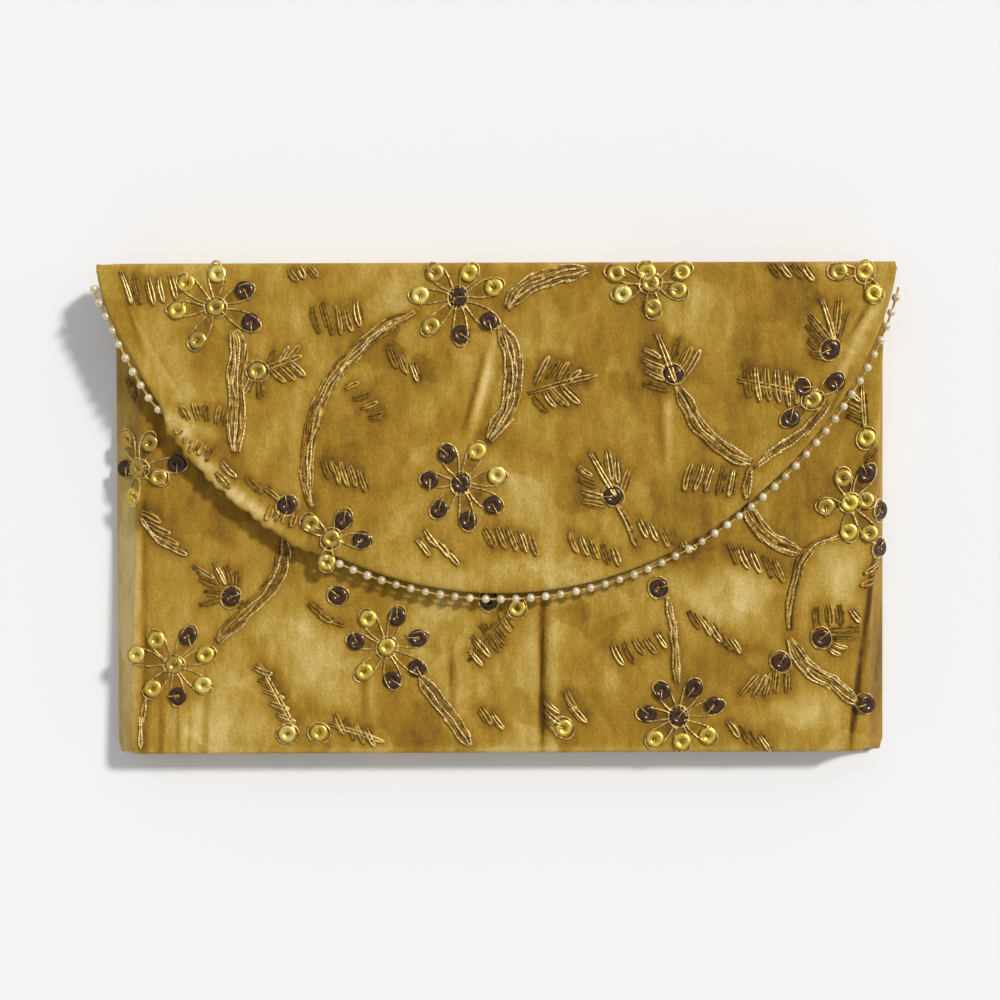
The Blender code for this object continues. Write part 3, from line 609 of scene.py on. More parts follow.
FRONT_SINGLES = (
    (-52.7, -26.0, "d"), (-87.3, -26.2, "d"), (51.3, -23.8, "d"), (90.8, -48.0, "d"), (104.1, -40.3, "d"),
    (118.6, -61.8, "d"), (5.3, -30.1, "g"), (20.4, -69.2, "g"), (-69.4, -70.8, "b"), (-59.1, -70.5, "g"),
    (-3.8, -27.6, "d"), (118.7, 24.5, "g"), (124.4, 1.0, "d"), (124.0, -11.1, "d"),
)

# Ribbons of chain stitch: strands from left to right as g gold or b brown, then points along the middle
FLAP_VINES = (
    ("gbggbg", ((-84.6, 59.5), (-83.2, 53.5), (-84.3, 43.4), (-83.7, 36.1), (-84.1, 29.1), (-84.4, 20.5))),
    ("bbggb", ((-26.5, 64.9), (-35.9, 60.4), (-41.9, 56.0), (-47.4, 50.9), (-51.5, 45.9), (-55.0, 40.5),
              (-57.6, 35.4), (-59.9, 27.5), (-61.5, 20.1), (-61.6, 12.8), (-60.9, 7.7), (-60.0, 2.8))),
    ("gbggbg", ((-0.2, 61.0), (3.0, 54.7), (4.5, 46.6), (4.3, 40.6), (2.8, 33.9), (-0.7, 28.5),
                (-3.4, 23.8))),
    ("gbggbg", ((2.3, 66.0), (6.8, 71.0), (11.9, 74.2), (18.0, 76.4), (28.2, 78.4))),
    ("gbgbg", ((56.4, 41.4), (60.2, 33.8), (63.0, 28.7), (68.1, 23.9), (73.8, 19.4), (80.4, 16.5))),
    ("gbg", ((79.6, 15.3), (78.9, 9.3), (78.6, 4.9))),
    ("gbg", ((81.2, 14.9), (87.9, 20.4), (93.3, 23.8), (99.0, 28.6), (104.6, 36.0))),
    ("gb", ((36.6, 3.6), (39.3, 0.3), (41.3, -4.7), (43.3, -10.4))),
)
FRONT_VINES = (
    ("bgbbg", ((-70.2, -5.0), (-70.9, -16.5), (-75.2, -24.2), (-80.9, -29.8), (-86.1, -35.0),
               (-92.0, -40.8))),
    ("gbgbg", ((-26.6, -52.0), (-20.4, -60.2), (-14.9, -67.4), (-9.6, -75.0))),
    ("gbg", ((53.6, -26.4), (55.5, -34.6), (56.5, -42.0), (57.1, -48.5), (57.4, -54.6))),
    ("ggbgg", ((79.6, 3.2), (83.2, -3.5), (88.9, -8.8), (97.8, -12.6))),
    ("bgb", ((110.0, -7.2), (101.9, -10.1), (98.3, -13.9), (96.4, -18.8), (95.1, -24.3), (94.1, -29.8),
             (93.6, -37.7))),
    ("ggbgg", ((93.4, -40.2), (97.3, -47.0), (101.9, -51.6), (107.7, -54.9), (112.9, -59.1), (116.0, -62.2))),
    ("gg", ((-115.2, -58.5), (-116.6, -67.7), (-117.0, -75.8))),
    ("gg", ((-116.4, -0.5), (-112.4, -6.1), (-104.7, -11.9))),
)

# Sprigs of straight stitches, each from its root to its tip
FLAP_STITCHES = (
    (-120.3, 77.6, -117.5, 69.3), (-116.1, 77.2, -114.3, 69.2), (-111.7, 75.6, -110.2, 68.9),
    (-108.4, 75.9, -107.0, 69.2), (-104.7, 76.5, -102.9, 69.8), (-66.6, 78.4, -64.6, 75.6),
    (-63.6, 79.2, -62.2, 76.2), (-60.4, 79.4, -58.2, 76.8), (-59.4, 66.2, -57.5, 59.2),
    (-56.0, 67.5, -53.6, 59.2), (-51.8, 66.5, -50.6, 58.9), (-48.8, 65.2, -47.2, 59.8),
    (-45.8, 68.1, -44.6, 61.7), (-75.2, 47.0, -64.5, 50.6), (-73.6, 48.0, -71.2, 53.2),
    (-70.4, 49.2, -67.6, 53.8), (-67.6, 50.0, -64.2, 54.0), (-73.2, 47.2, -69.0, 43.4),
    (-70.2, 48.4, -65.8, 44.2), (-67.0, 49.4, -62.8, 45.4), (-76.5, 43.0, -76.5, 38.4),
    (-79.4, 44.2, -81.4, 39.8), (-48.8, 40.6, -45.2, 42.4), (-46.4, 37.4, -42.2, 39.2),
    (-43.8, 34.4, -39.8, 36.0), (-41.4, 31.4, -37.4, 32.8), (-35.2, 53.4, -33.0, 48.0),
    (-31.6, 51.0, -29.6, 45.8), (-28.2, 48.4, -26.4, 43.4), (11.5, 42.5, 15.0, 49.5),
    (15.3, 44.1, 18.8, 48.9), (18.8, 43.4, 21.4, 47.9), (21.7, 42.4, 25.5, 45.9), (11.1, 37.7, 14.9, 33.5),
    (14.3, 39.3, 17.3, 35.2), (16.2, 40.6, 21.3, 35.5), (19.7, 41.2, 24.5, 36.4), (10.5, 39.4, 27.7, 43.9),
    (50.4, 57.0, 55.8, 42.6), (46.2, 52.7, 50.8, 50.3), (46.3, 49.4, 51.6, 47.2), (46.9, 45.9, 52.1, 43.3),
    (46.3, 41.8, 53.0, 40.0), (55.0, 50.3, 57.3, 56.3), (57.5, 46.8, 60.8, 53.2), (58.6, 43.9, 63.1, 51.4),
    (78.4, 47.2, 79.4, 38.8), (81.6, 46.4, 82.8, 37.8), (85.0, 46.0, 86.0, 37.2), (88.2, 45.4, 89.2, 36.4),
    (91.2, 44.8, 92.2, 35.4), (94.2, 43.6, 94.8, 35.6), (77.4, 42.6, 95.2, 38.8),
    (-56.4, 17.8, -54.6, 12.6), (-53.8, 17.2, -51.6, 11.4), (-50.8, 16.8, -48.8, 10.6),
    (-47.8, 15.6, -46.0, 9.8), (-45.0, 14.4, -43.2, 9.0), (-4.6, -4.2, -2.0, -9.4), (-1.0, -4.0, 1.4, -9.8),
    (2.6, -4.4, 5.0, -10.6), (6.2, -5.0, 8.4, -11.2), (9.6, -6.2, 11.4, -11.8),
    (-102.0, 28.4, -103.8, 25.4), (-99.4, 25.6, -101.2, 22.4), (-96.8, 24.6, -98.6, 21.4),
    (-94.2, 23.2, -95.8, 20.2), (-91.6, 21.2, -93.2, 18.2), (-99.2, 31.2, -101.4, 35.0),
    (-96.2, 31.2, -97.6, 35.6), (-93.2, 30.8, -93.4, 35.2), (-90.2, 30.2, -89.4, 34.6),
    (-87.4, 29.2, -85.8, 33.2), (-88.3, 17.1, -84.6, 13.0), (-90.2, 14.0, -86.6, 9.8),
    (-72.8, 2.6, -74.2, -0.6), (-70.2, 2.0, -71.4, -1.2), (-67.8, 1.2, -69.0, -1.8),
    (-65.4, 0.2, -66.4, -2.6), (-74.8, 8.8, -70.6, 5.4), (-80.6, 12.4, -76.4, 8.2), (28.9, 19.6, 35.6, 8.2),
    (25.3, 15.4, 28.9, 12.8), (25.5, 11.4, 30.8, 9.3), (26.4, 7.6, 31.8, 6.1), (26.6, 4.3, 32.9, 3.0),
    (34.3, 20.3, 35.5, 12.4), (37.1, 17.6, 37.6, 11.4), (40.9, 14.1, 38.9, 8.2), (60.8, 15.9, 58.9, 8.6),
    (64.6, 15.6, 62.2, 8.6), (67.9, 15.0, 65.7, 8.2), (71.3, 14.8, 69.7, 7.9), (74.4, 14.0, 73.1, 7.3),
    (102.9, 67.6, 106.2, 57.0), (99.0, 63.6, 105.2, 55.9), (98.2, 59.9, 104.2, 53.6),
    (98.9, 55.9, 103.2, 52.4), (99.4, 51.6, 103.4, 50.6), (108.3, 67.9, 107.3, 58.3),
    (110.9, 64.1, 108.5, 55.9), (86.4, 79.6, 89.0, 76.2), (89.8, 79.6, 92.4, 76.0),
    (93.4, 79.4, 96.2, 75.8), (97.0, 79.0, 99.6, 75.2), (44.4, -1.8, 46.6, -6.4), (47.8, -3.0, 50.0, -8.0),
    (51.2, -4.6, 53.6, -9.8), (54.6, -6.4, 57.0, -11.4), (58.2, -8.2, 60.6, -13.0),
    (61.4, -9.8, 63.6, -13.0), (22.4, -5.8, 24.4, -11.0), (25.8, -7.0, 27.8, -12.2),
    (29.2, -8.2, 31.4, -13.6), (32.8, -9.6, 34.6, -14.8), (36.2, -10.8, 37.8, -15.4),
    (-23.9, -4.5, -20.4, -9.2), (-20.7, -8.0, -17.0, -12.4), (-17.2, -11.2, -13.6, -15.4),
    (-26.6, -7.6, -23.2, -12.0),
)
FRONT_STITCHES = (
    (-61.9, -28.6, -58.0, -31.6), (-59.0, -31.4, -55.0, -34.2), (-56.0, -34.0, -51.0, -35.6),
    (-98.9, -16.4, -93.4, -19.8), (-97.0, -20.4, -91.4, -22.6), (-95.4, -24.4, -90.4, -24.8),
    (-92.6, -15.4, -89.6, -21.2), (-88.8, -16.4, -87.2, -22.0), (-85.0, -18.2, -85.4, -23.2),
    (-97.0, -28.6, -91.2, -26.6), (-82.9, -29.9, -86.0, -27.8), (-79.7, -49.2, -74.6, -51.2),
    (-78.2, -53.2, -72.8, -55.2), (-76.4, -57.0, -71.0, -59.0), (-74.4, -60.8, -69.2, -62.8),
    (-72.4, -64.6, -67.4, -66.6), (-77.6, -49.0, -68.0, -67.0), (-53.6, -64.6, -51.0, -70.4),
    (-50.4, -66.4, -47.8, -72.0), (-47.0, -67.8, -44.6, -73.4), (-43.8, -69.2, -41.2, -74.4),
    (-54.4, -68.0, -40.3, -72.8), (-0.2, -31.7, 2.9, -37.2), (-2.6, -36.0, 1.2, -41.0),
    (-6.0, -36.0, -1.2, -43.2), (-8.7, -39.6, -4.2, -45.1), (-9.9, -44.1, -6.2, -48.6),
    (-9.5, -46.3, 1.2, -33.4), (-6.4, -62.8, -3.4, -67.4), (-3.0, -64.2, 0.4, -68.8),
    (36.4, -42.6, 39.6, -48.5), (40.2, -41.8, 43.2, -47.5), (43.4, -40.9, 46.3, -44.9),
    (47.1, -40.6, 50.1, -44.6), (50.5, -38.4, 53.5, -43.0), (61.3, -31.6, 64.4, -36.4),
    (64.6, -33.6, 67.8, -38.8), (68.0, -35.8, 71.2, -41.0), (71.4, -38.2, 74.4, -43.2),
    (74.8, -40.4, 77.4, -44.6), (74.0, -9.9, 76.4, -15.4), (77.6, -11.0, 80.2, -16.8),
    (81.4, -12.2, 84.0, -18.2), (85.2, -13.8, 87.8, -19.8), (89.0, -15.4, 91.6, -21.4),
    (78.2, -58.0, 83.2, -52.2), (82.3, -58.8, 85.6, -52.9), (85.6, -58.8, 87.3, -52.2),
    (89.2, -57.6, 89.9, -51.6), (92.9, -57.4, 92.9, -52.2), (102.6, -30.6, 103.2, -36.9),
    (106.5, -29.8, 107.2, -35.9), (110.0, -29.8, 110.6, -35.5), (113.6, -31.2, 116.3, -34.8),
    (107.7, -37.7, 116.2, -36.9), (108.4, -40.1, 114.6, -39.8), (107.8, -41.9, 112.1, -43.4),
    (107.0, -43.9, 109.8, -45.6), (14.4, -60.0, 18.5, -63.8), (14.5, -63.5, 18.8, -67.3),
    (15.3, -67.3, 18.8, -70.4), (21.4, -57.4, 24.5, -63.0), (22.6, -61.6, 27.0, -66.6),
    (74.0, -67.6, 76.8, -71.8), (77.4, -69.2, 80.2, -73.4), (80.8, -70.8, 83.6, -75.0),
    (84.2, -72.4, 87.0, -76.4), (-115.9, 1.2, -110.6, -1.6), (-113.2, -2.6, -107.8, -5.2),
    (-110.4, -6.2, -105.2, -8.8), (-107.4, -9.8, -102.4, -12.2), (-122.2, 45.0, -119.6, 39.6),
    (-120.0, 41.8, -117.2, 36.4), (112.6, 39.4, 116.2, 36.6), (112.4, 35.6, 116.8, 33.2),
    (112.8, 31.8, 117.4, 29.8), (117.2, 40.6, 118.0, 29.0), (122.0, 20.8, 119.2, 17.4),
    (123.8, -16.6, 119.0, -19.0), (122.6, -20.6, 117.8, -22.8),
)

# Sequins, the wire loops round them, and the spacing of a ribbon's strands
SEQUIN_RADIUS = 2.85
HOLE_RADIUS = 0.65
SEQUIN_SEGMENTS = 24
LOOP_RADIUS = 3.5
STRAND_PITCH = 1.0

# A sequin's rings as radius and level: hole, the cup's bend, rim above and below, and hole below
SEQUIN_RINGS = (
    (HOLE_RADIUS, 0.0), (1.6, 0.16), (SEQUIN_RADIUS, 0.62), (SEQUIN_RADIUS, 0.5), (HOLE_RADIUS, -0.12),
)

# The stitch that holds a sequin, as reach and level: from the hole up, over the rim and down
HOLDING = ((0, -0.1), (0.35, 0.3), (1.2, 0.42), (2.4, 0.6), (3.2, 0.5), (3.7, 0.0))

# A wire's two plies: their radius, how far they lie from its middle, their pitch and their sides
WIRE_PLIES = (0.22, 0.17, 1.5, 4)

# How high the dark strands lie that fill the gaps of a ribbon, as painted shade between its strands
GAP_SHADE_LIFT = 0.08

# The frame's pattern lies this much lower than the traced points
PATTERN_DROP = 1.0

# Nothing is sewn further up than this, where the cloth turns over the fold
SEQUIN_TOP = 76.3
STITCH_TOP = 78.8

FLAP_PATTERN = (FLAP_FLOWERS, FLAP_SINGLES, FLAP_VINES, FLAP_STITCHES)
FRONT_PATTERN = (FRONT_FLOWERS, FRONT_SINGLES, FRONT_VINES, FRONT_STITCHES)


def normal_at(x, y, height):
    """The cloth's direction out, from its height nearby."""
    step = 1.2
    slope_x = (height(x + step, y) - height(x - step, y)) / (2 * step)
    slope_y = (height(x, y + step) - height(x, y - step)) / (2 * step)
    return Vector((-slope_x, -slope_y, 1)).normalized()


class Sequins:
    """Cupped discs with a hole, collected into one mesh."""

    def __init__(self):
        self.points = []
        self.faces = []

    def add(self, x, y, height, tilt):
        """A sequin that lies on the cloth, a little tilted. Returns its centre and its turn."""
        slope = normal_at(x, y, height)
        turn = random.uniform(0, 2 * math.pi)
        up = (slope + Vector((0, 0, 0.8)) + around(1, turn, 0) * tilt).normalized()
        frame_turn = up.to_track_quat("Z", "Y").to_matrix()
        centre = Vector((x, y, height(x, y) + 0.22 + 2.2 * (1 - slope.z)))
        first = len(self.points)
        for radius, level in SEQUIN_RINGS:
            for step in range(SEQUIN_SEGMENTS):
                angle = 2 * math.pi * step / SEQUIN_SEGMENTS
                self.points.append(centre + frame_turn @ around(radius, angle, level))
        count = len(SEQUIN_RINGS)
        for ring in range(count):
            for step in range(SEQUIN_SEGMENTS):
                other = (step + 1) % SEQUIN_SEGMENTS
                a, b = first + ring * SEQUIN_SEGMENTS, first + (ring + 1) % count * SEQUIN_SEGMENTS
                self.faces.append((a + step, b + step, b + other, a + other))
        return centre, frame_turn


def hold_sequin(threads, centre, frame_turn, turn):
    """The stitch from the sequin's hole out over its rim."""
    path = []
    for reach, level in HOLDING:
        path.append(centre + frame_turn @ around(reach, turn, level))
    threads.tube(path, 0.17, 5, 0.2)


def petal_loop(threads, centre, petal, height):
    """The wire that leaves the flower's middle, runs round a petal's sequin and comes back."""
    middle, tip = Vector(centre), Vector(petal)
    away = tip - middle
    along = away.normalized()
    across = Vector((-along.y, along.x))
    near = min(2.2, away.length * 0.3)
    far = away.length + LOOP_RADIUS + random.uniform(-0.2, 0.5)
    widest = LOOP_RADIUS * random.uniform(0.88, 1.04)
    lean = random.uniform(-0.7, 0.7)
    path = []
    for step in range(41):
        t = step / 40
        angle = 2 * math.pi * t
        out = lerp(near, far, (1 - math.cos(angle)) / 2)
        width = widest * math.sin(angle) * (0.4 + 0.6 * smooth(2 * min(t, 1 - t)))
        width += lean * math.sin(angle / 2) ** 2 + 0.16 * math.sin(3 * angle + 5 * lean)
        path.append(middle + along * out + across * width)
    threads.twisted(seated(path, height, 0.42), *WIRE_PLIES)


def ring_loop(threads, centre, height):
    """A wire ring round a single sequin, with its two ends crossing."""
    middle = Vector(centre)
    start = random.uniform(0, 2 * math.pi)
    path = []
    for step in range(33):
        angle = start + 2 * math.pi * 1.08 * step / 32
        radius = LOOP_RADIUS - 0.25 + 0.3 * math.sin(2 * angle + start) + 0.5 * step / 32
        path.append(middle + around(radius, angle))
    threads.twisted(seated(path, height, 0.4), *WIRE_PLIES)


def sew_flower(sets, centre, petals, height):
    middle = centre[:2]
    for x, y, kind in (centre, *petals):
        tilt = 0.05 if kind == "b" else random.uniform(0.05, 0.2)
        place = sets[kind].add(x, y, height, tilt)
        hold_sequin(sets["gold_wire"], *place, random.uniform(0, 2 * math.pi))
    for x, y, _ in petals:
        petal_loop(sets["gold_wire"], middle, (x, y), height)
    ring_loop(sets["gold_wire"], middle, height)


def sew_single(sets, place, height):
    x, y, kind = place
    where = sets[kind].add(x, y, height, random.uniform(0.05, 0.15))
    hold_sequin(sets["gold_wire"], *where, random.uniform(0, 2 * math.pi))
    ring_loop(sets["gold_wire"], (x, y), height)


def sew_vine(sets, strands, points, height):
    """Strands side by side in overlapping lengths, over dark strands painted as the shade in their gaps,
    drawn together at the ribbon's ends.
    """
    path = through(points)
    middle = (len(strands) - 1) / 2
    # Dark strands along the gaps between the strands: painted shade
    for number in range(len(strands) - 1):
        lay_strand(sets["brown"], path, 0, len(path), number - middle + 0.5, height, GAP_SHADE_LIFT)
    for number, kind in enumerate(strands):
        start = 0
        while start < len(path) - 4:
            end = start + random.randint(11, 24)
            shade = random.random()
            if kind == "g":
                colour = "gold" if shade < 0.7 else "tan"
            else:
                colour = "tan" if shade < 0.45 else "brown"
            lift = random.uniform(0.35, 0.65)
            low, high = max(0, start - 3), min(len(path), end + 3)
            lay_strand(sets[colour], path, low, high, number - middle, height, lift)
            start = end


def lay_strand(threads, path, start, end, number, height, lift):
    """One length of a ribbon's strand, swaying and dipping under its neighbours at its ends."""
    tangents = directions(path)
    phase = random.uniform(0, 2 * math.pi)
    shift_start, shift_end = random.uniform(-0.45, 0.45), random.uniform(-0.45, 0.45)
    strand = []
    for i in range(start, end):
        t = (i - start) / max(1, end - start - 1)
        ends = min(i, len(path) - 1 - i) / max(1, len(path) - 1)
        gather = 0.4 + 0.6 * smooth(ends / 0.16)
        sway = 0.2 * math.sin(i * 0.3 + phase) + lerp(shift_start, shift_end, t)
        offset = number * STRAND_PITCH * gather + sway
        place = path[i] + Vector((-tangents[i].y, tangents[i].x)) * offset
        rise = lift * math.sin(math.pi * min(1, max(0, t))) ** 0.4
        strand.append(Vector((place.x, place.y, height(place.x, place.y) + 0.08 + rise)))
    if lift == GAP_SHADE_LIFT:
        threads.tube(strand, 0.45, 5)
    else:
        threads.twisted(strand, 0.21, 0.17, random.uniform(1.9, 2.8), 5, phase)


def sew_stitch(sets, stitch, height):
    """A long loop of one thread over a brown copy shifted to the lower left as a painted shadow, with a short
    brown stroke beside it.
    """
    start, end = Vector(stitch[:2]), Vector(stitch[2:])
    start, end = start.lerp(end, -0.08), start.lerp(end, random.uniform(1.04, 1.2))
    along = (end - start).normalized()
    across = Vector((-along.y, along.x))
    bow = random.uniform(-0.4, 0.4)
    half_width = random.uniform(0.65, 1.05)
    shade = random.random()
    colour = "gold_wire" if shade < 0.36 else "tan" if shade < 0.7 else "brown"
    # The brown copy, shifted away from the light to the lower left, is a painted shadow under the loop
    for kind, shift, lift, radius in (
        ("brown", Vector((-0.32, -0.22)), 0.1, 0.34),
        (colour, Vector((0, 0)), 0.34, random.uniform(0.3, 0.38)),
    ):
        path = []
        for step in range(19):
            angle = math.pi * step / 18
            t = math.sin(angle) ** 0.7
            side = half_width * math.cos(angle) * (0.45 + 0.55 * t)
            path.append(start.lerp(end, t) + across * (side + bow * math.sin(math.pi * t)) + shift)
        sets[kind].tube(seated(path, height, lift), radius, 5, 0.35)
    beside = across * random.choice((-1, 1)) * random.uniform(1.15, 1.45)
    begin, stop = random.uniform(0.05, 0.25), random.uniform(0.75, 1.0)
    path = [start.lerp(end, lerp(begin, stop, step / 6)) + beside for step in range(7)]
    sets["brown"].tube(seated(path, height, 0.16), random.uniform(0.3, 0.42), 5, 0.35)


def lowered(place):
    """A traced place, moved down onto the frame's pattern: x and y pairs, with a kind after a sequin's."""
    highest = SEQUIN_TOP if isinstance(place[-1], str) else STITCH_TOP
    return tuple(min(highest, v - PATTERN_DROP) if i % 2 else v for i, v in enumerate(place))


def trimmed(stitch):
    """A stitch of the flap, shortened at its tip where it would leave the edge."""
    x0, y0, x1, y1 = stitch
    for _ in range(8):
        if inside_flap(x1, y1) > 2.4:
            break
        x1, y1 = lerp(x1, x0, 0.12), lerp(y1, y0, 0.12)
    return x0, y0, x1, y1


def sew(prefix, body, pattern, height, looks):
    """All the embroidery of one cloth, as one piece for each kind of thread or sequin."""
    flowers, singles, vines, stitches = pattern
    sets = {kind: Sequins() for kind in "gbod"}
    sets.update(gold=Threads(), tan=Threads(), brown=Threads(), gold_wire=Threads())
    for centre, petals in flowers:
        sew_flower(sets, lowered(centre), [lowered(petal) for petal in petals], height)
    for place in singles:
        sew_single(sets, lowered(place), height)
    for strands, points in vines:
        sew_vine(sets, strands, [lowered(point) for point in points], height)
    for stitch in stitches:
        placed = lowered(stitch)
        sew_stitch(sets, trimmed(placed) if prefix == "flap" else placed, height)
    names = {
        "g": "gold_sequins", "b": "bright_sequins", "o": "dull_sequins", "d": "dark_sequins",
        "gold": "gold_threads", "tan": "tan_threads", "brown": "brown_threads_and_shade", "gold_wire": "wire_loops",
    }
    made = {}
    for kind, name in names.items():
        obj = new_object(f"{prefix}_{name}", sets[kind].points, sets[kind].faces, looks[kind])
        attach(obj, body)
        made[kind] = obj
    return made


def embroidery_points(flowers, singles, vines, stitches):
    """Where the embroidery lies, for the painted shade on the cloth round it."""
    places = []
    for centre, petals in flowers:
        for x, y, _ in (centre, *petals):
            places.append((x, y))
            places.append((lerp(x, centre[0], 0.45), lerp(y, centre[1], 0.45)))
    places.extend((x, y) for x, y, _ in singles)
    for _, points in vines:
        places.extend((p.x, p.y) for p in through(points, 1.5))
    for x0, y0, x1, y1 in stitches:
        places.extend((lerp(x0, x1, t), lerp(y0, y1, t)) for t in (0, 0.25, 0.5, 0.75, 1))
    return [lowered(place) for place in places]


# Materials


class Nodes:
    """The nodes of a material or of the world, and what adds, sets and links them."""

    def __init__(self, owner):
        owner.use_nodes = True
        self.tree = owner.node_tree

    def put(self, socket, value):
        """Links the socket to another node's, or sets its value."""
        if isinstance(value, bpy.types.NodeSocket):
            self.tree.links.new(value, socket)
        else:
            socket.default_value = value

    def fill(self, node, **values):
        """Fills a node's sockets, named with underscores for their spaces."""
        for name, value in values.items():
            self.put(node.inputs[name.replace("_", " ")], value)

    def add(self, kind, **values):
        node = self.tree.nodes.new("ShaderNode" + kind)
        self.fill(node, **values)
        return node

    def noise(self, scale, detail, stretch=(1, 1, 1), roughness=0.55):
        """Noise in the object's own metres, stretched along the axes."""
        place = self.add("TexCoord").outputs["Object"]
        place = self.add("Mapping", Vector=place, Scale=stretch).outputs["Vector"]
        texture = self.add("TexNoise", Vector=place, Scale=scale, Detail=detail, Roughness=roughness)
        return texture.outputs["Fac"]

    def ramp(self, factor, *stops):
        node = self.add("ValToRGB", Fac=factor)
        elements = node.color_ramp.elements
        while len(elements) < len(stops):
            elements.new(0.5)
        for element, (place, colour) in zip(elements, stops):
            element.position = place
            element.color = (*colour, 1)
        return node.outputs["Color"]

    def eased(self, value, low, high, least, most):
        """A value that eases from least to most between low and high."""
        node = self.add("MapRange", Value=value, From_Min=low, From_Max=high, To_Min=least, To_Max=most)
        node.interpolation_type = "SMOOTHSTEP"
        return node.outputs["Result"]

    def calculate(self, operation, first, second):
        node = self.add("Math")
        node.operation = operation
        for socket, value in zip(node.inputs, (first, second)):
            self.put(socket, value)
        return node.outputs[0]


class Look(Nodes):
    """A new material, whose shader is set from the start."""

    def __init__(self, name, **values):
        self.material = bpy.data.materials.new(name)
        super().__init__(self.material)
        self.shader = self.tree.nodes["Principled BSDF"]
        self.fill(self.shader, **values)

    def tint(self, pattern, *stops):
        self.fill(self.shader, Base_Color=self.ramp(pattern, *stops))

    def wear(self, pattern, roughness, least, most):
        """Roughness that varies with a pattern, between two shares of itself."""
        stops = ((0.3, (roughness * least,) * 3), (0.7, (roughness * most,) * 3))
        self.fill(self.shader, Roughness=self.ramp(pattern, *stops))

    def bump(self, height, strength, distance):
        node = self.add("Bump", Height=height, Strength=strength, Distance=distance)
        self.fill(self.shader, Normal=node.outputs["Normal"])


def velvet():
    """Crushed velvet: patches of lighter and darker pile, with painted shade round the stitches and in
    creases, and painted light on pleats.
    """
    look = Look("Mustard velvet", Roughness=0.8, Specular_IOR_Level=0.2)
    look.fill(look.shader, Sheen_Weight=0.25, Sheen_Roughness=0.45, Sheen_Tint=(0.95, 0.78, 0.42, 1))
    broad = look.noise(46, 4, (1.3, 0.8, 1))
    streaks = look.noise(150, 4, (1.5, 0.55, 1), 0.65)
    grain = look.noise(1300, 3, (1.2, 0.8, 1), 0.7)
    tone_and_shading = look.add("Attribute")
    tone_and_shading.attribute_name = "tone_and_shading"
    pile_and_shading = look.calculate("MULTIPLY", broad, 0.6)
    for pattern, weight in ((streaks, 0.62), (grain, 0.42), (crushed_patches(look), 0.2)):
        pile_and_shading = look.calculate("ADD", pile_and_shading, look.calculate("MULTIPLY", pattern, weight))
    # The stored attribute adds painted light and shade to the pile's patches
    pile_and_shading = look.calculate("ADD", pile_and_shading, tone_and_shading.outputs["Fac"])
    look.tint(
        look.calculate("SUBTRACT", pile_and_shading, 0.43),
        (0.0, (0.09, 0.04, 0.004)),
        (0.25, (0.24, 0.122, 0.009)),
        (0.45, (0.355, 0.198, 0.016)),
        (0.6, (0.445, 0.275, 0.036)),
        (0.78, (0.57, 0.392, 0.105)),
        (1.0, (0.765, 0.56, 0.225)),
    )
    height = look.calculate("ADD", look.calculate("MULTIPLY", streaks, 0.8), grain)
    look.bump(height, 0.55, 0.0007)
    return look.material


def crushed_patches(look):
    """Uneven patches with fairly sharp borders, where the pile was pressed different ways."""
    place = look.add("TexCoord").outputs["Object"]
    bend = look.add("TexNoise", Vector=place, Scale=60, Detail=3)
    shifted = look.add("VectorMath")
    shifted.operation = "MULTIPLY_ADD"
    for socket, value in zip(shifted.inputs, (bend.outputs["Color"], (0.022, 0.022, 0.022), place)):
        look.put(socket, value)
    cells = look.add("TexVoronoi")
    cells.feature = "SMOOTH_F1"
    look.fill(cells, Vector=shifted.outputs["Vector"], Scale=62, Smoothness=0.18)
    return look.add("SeparateColor", Color=cells.outputs["Color"]).outputs["Red"]


def metal_thread(name, colour, roughness, metallic):
    """Metallic thread whose brightness varies along it."""
    look = Look(name, Metallic=metallic, Roughness=roughness, Specular_IOR_Level=0.25)
    dark = tuple(c * 0.45 for c in colour)
    light = tuple(min(1, c * 1.25) for c in colour)
    look.tint(look.noise(700, 2), (0.35, dark), (0.65, light))
    return look.material


def foil(name, colour, roughness, metallic, coat=0.0):
    """A sequin's foil, with faint scratches."""
    look = Look(name, Base_Color=(*colour, 1), Metallic=metallic, Coat_Weight=coat)
    look.wear(look.noise(400, 2), roughness, 0.7, 1.4)
    look.bump(look.noise(200, 1), 0.08, 0.0004)
    return look.material


def pearl_look():
    look = Look("Pearl", Roughness=0.2, Metallic=0.3, Coat_Weight=0.7, Coat_Roughness=0.08, Sheen_Weight=0.3)
    look.tint(look.noise(160, 2), (0.35, (0.6, 0.49, 0.25)), (0.65, (0.86, 0.76, 0.5)))
    return look.material


def satin_look():
    look = Look("Gold satin lining", Roughness=0.38, Anisotropic=0.5, Sheen_Weight=0.2)
    look.tint(look.noise(90, 3, (1, 0.35, 1)), (0.3, (0.42, 0.27, 0.07)), (0.7, (0.62, 0.43, 0.15)))
    look.bump(look.noise(1500, 1, (1, 0.1, 1)), 0.3, 0.0002)
    return look.material


def card_look():
    look = Look("Grey-brown board", Roughness=0.9)
    fibres = look.noise(500, 4, (1, 0.4, 1))
    look.tint(fibres, (0.3, (0.3, 0.26, 0.2)), (0.7, (0.45, 0.4, 0.32)))
    look.bump(fibres, 0.4, 0.0002)
    return look.material


def plated_look(name, colour, roughness):
    look = Look(name, Base_Color=(*colour, 1), Metallic=1)
    look.wear(look.noise(300, 3, (1, 0.1, 1)), roughness, 0.8, 1.3)
    return look.material
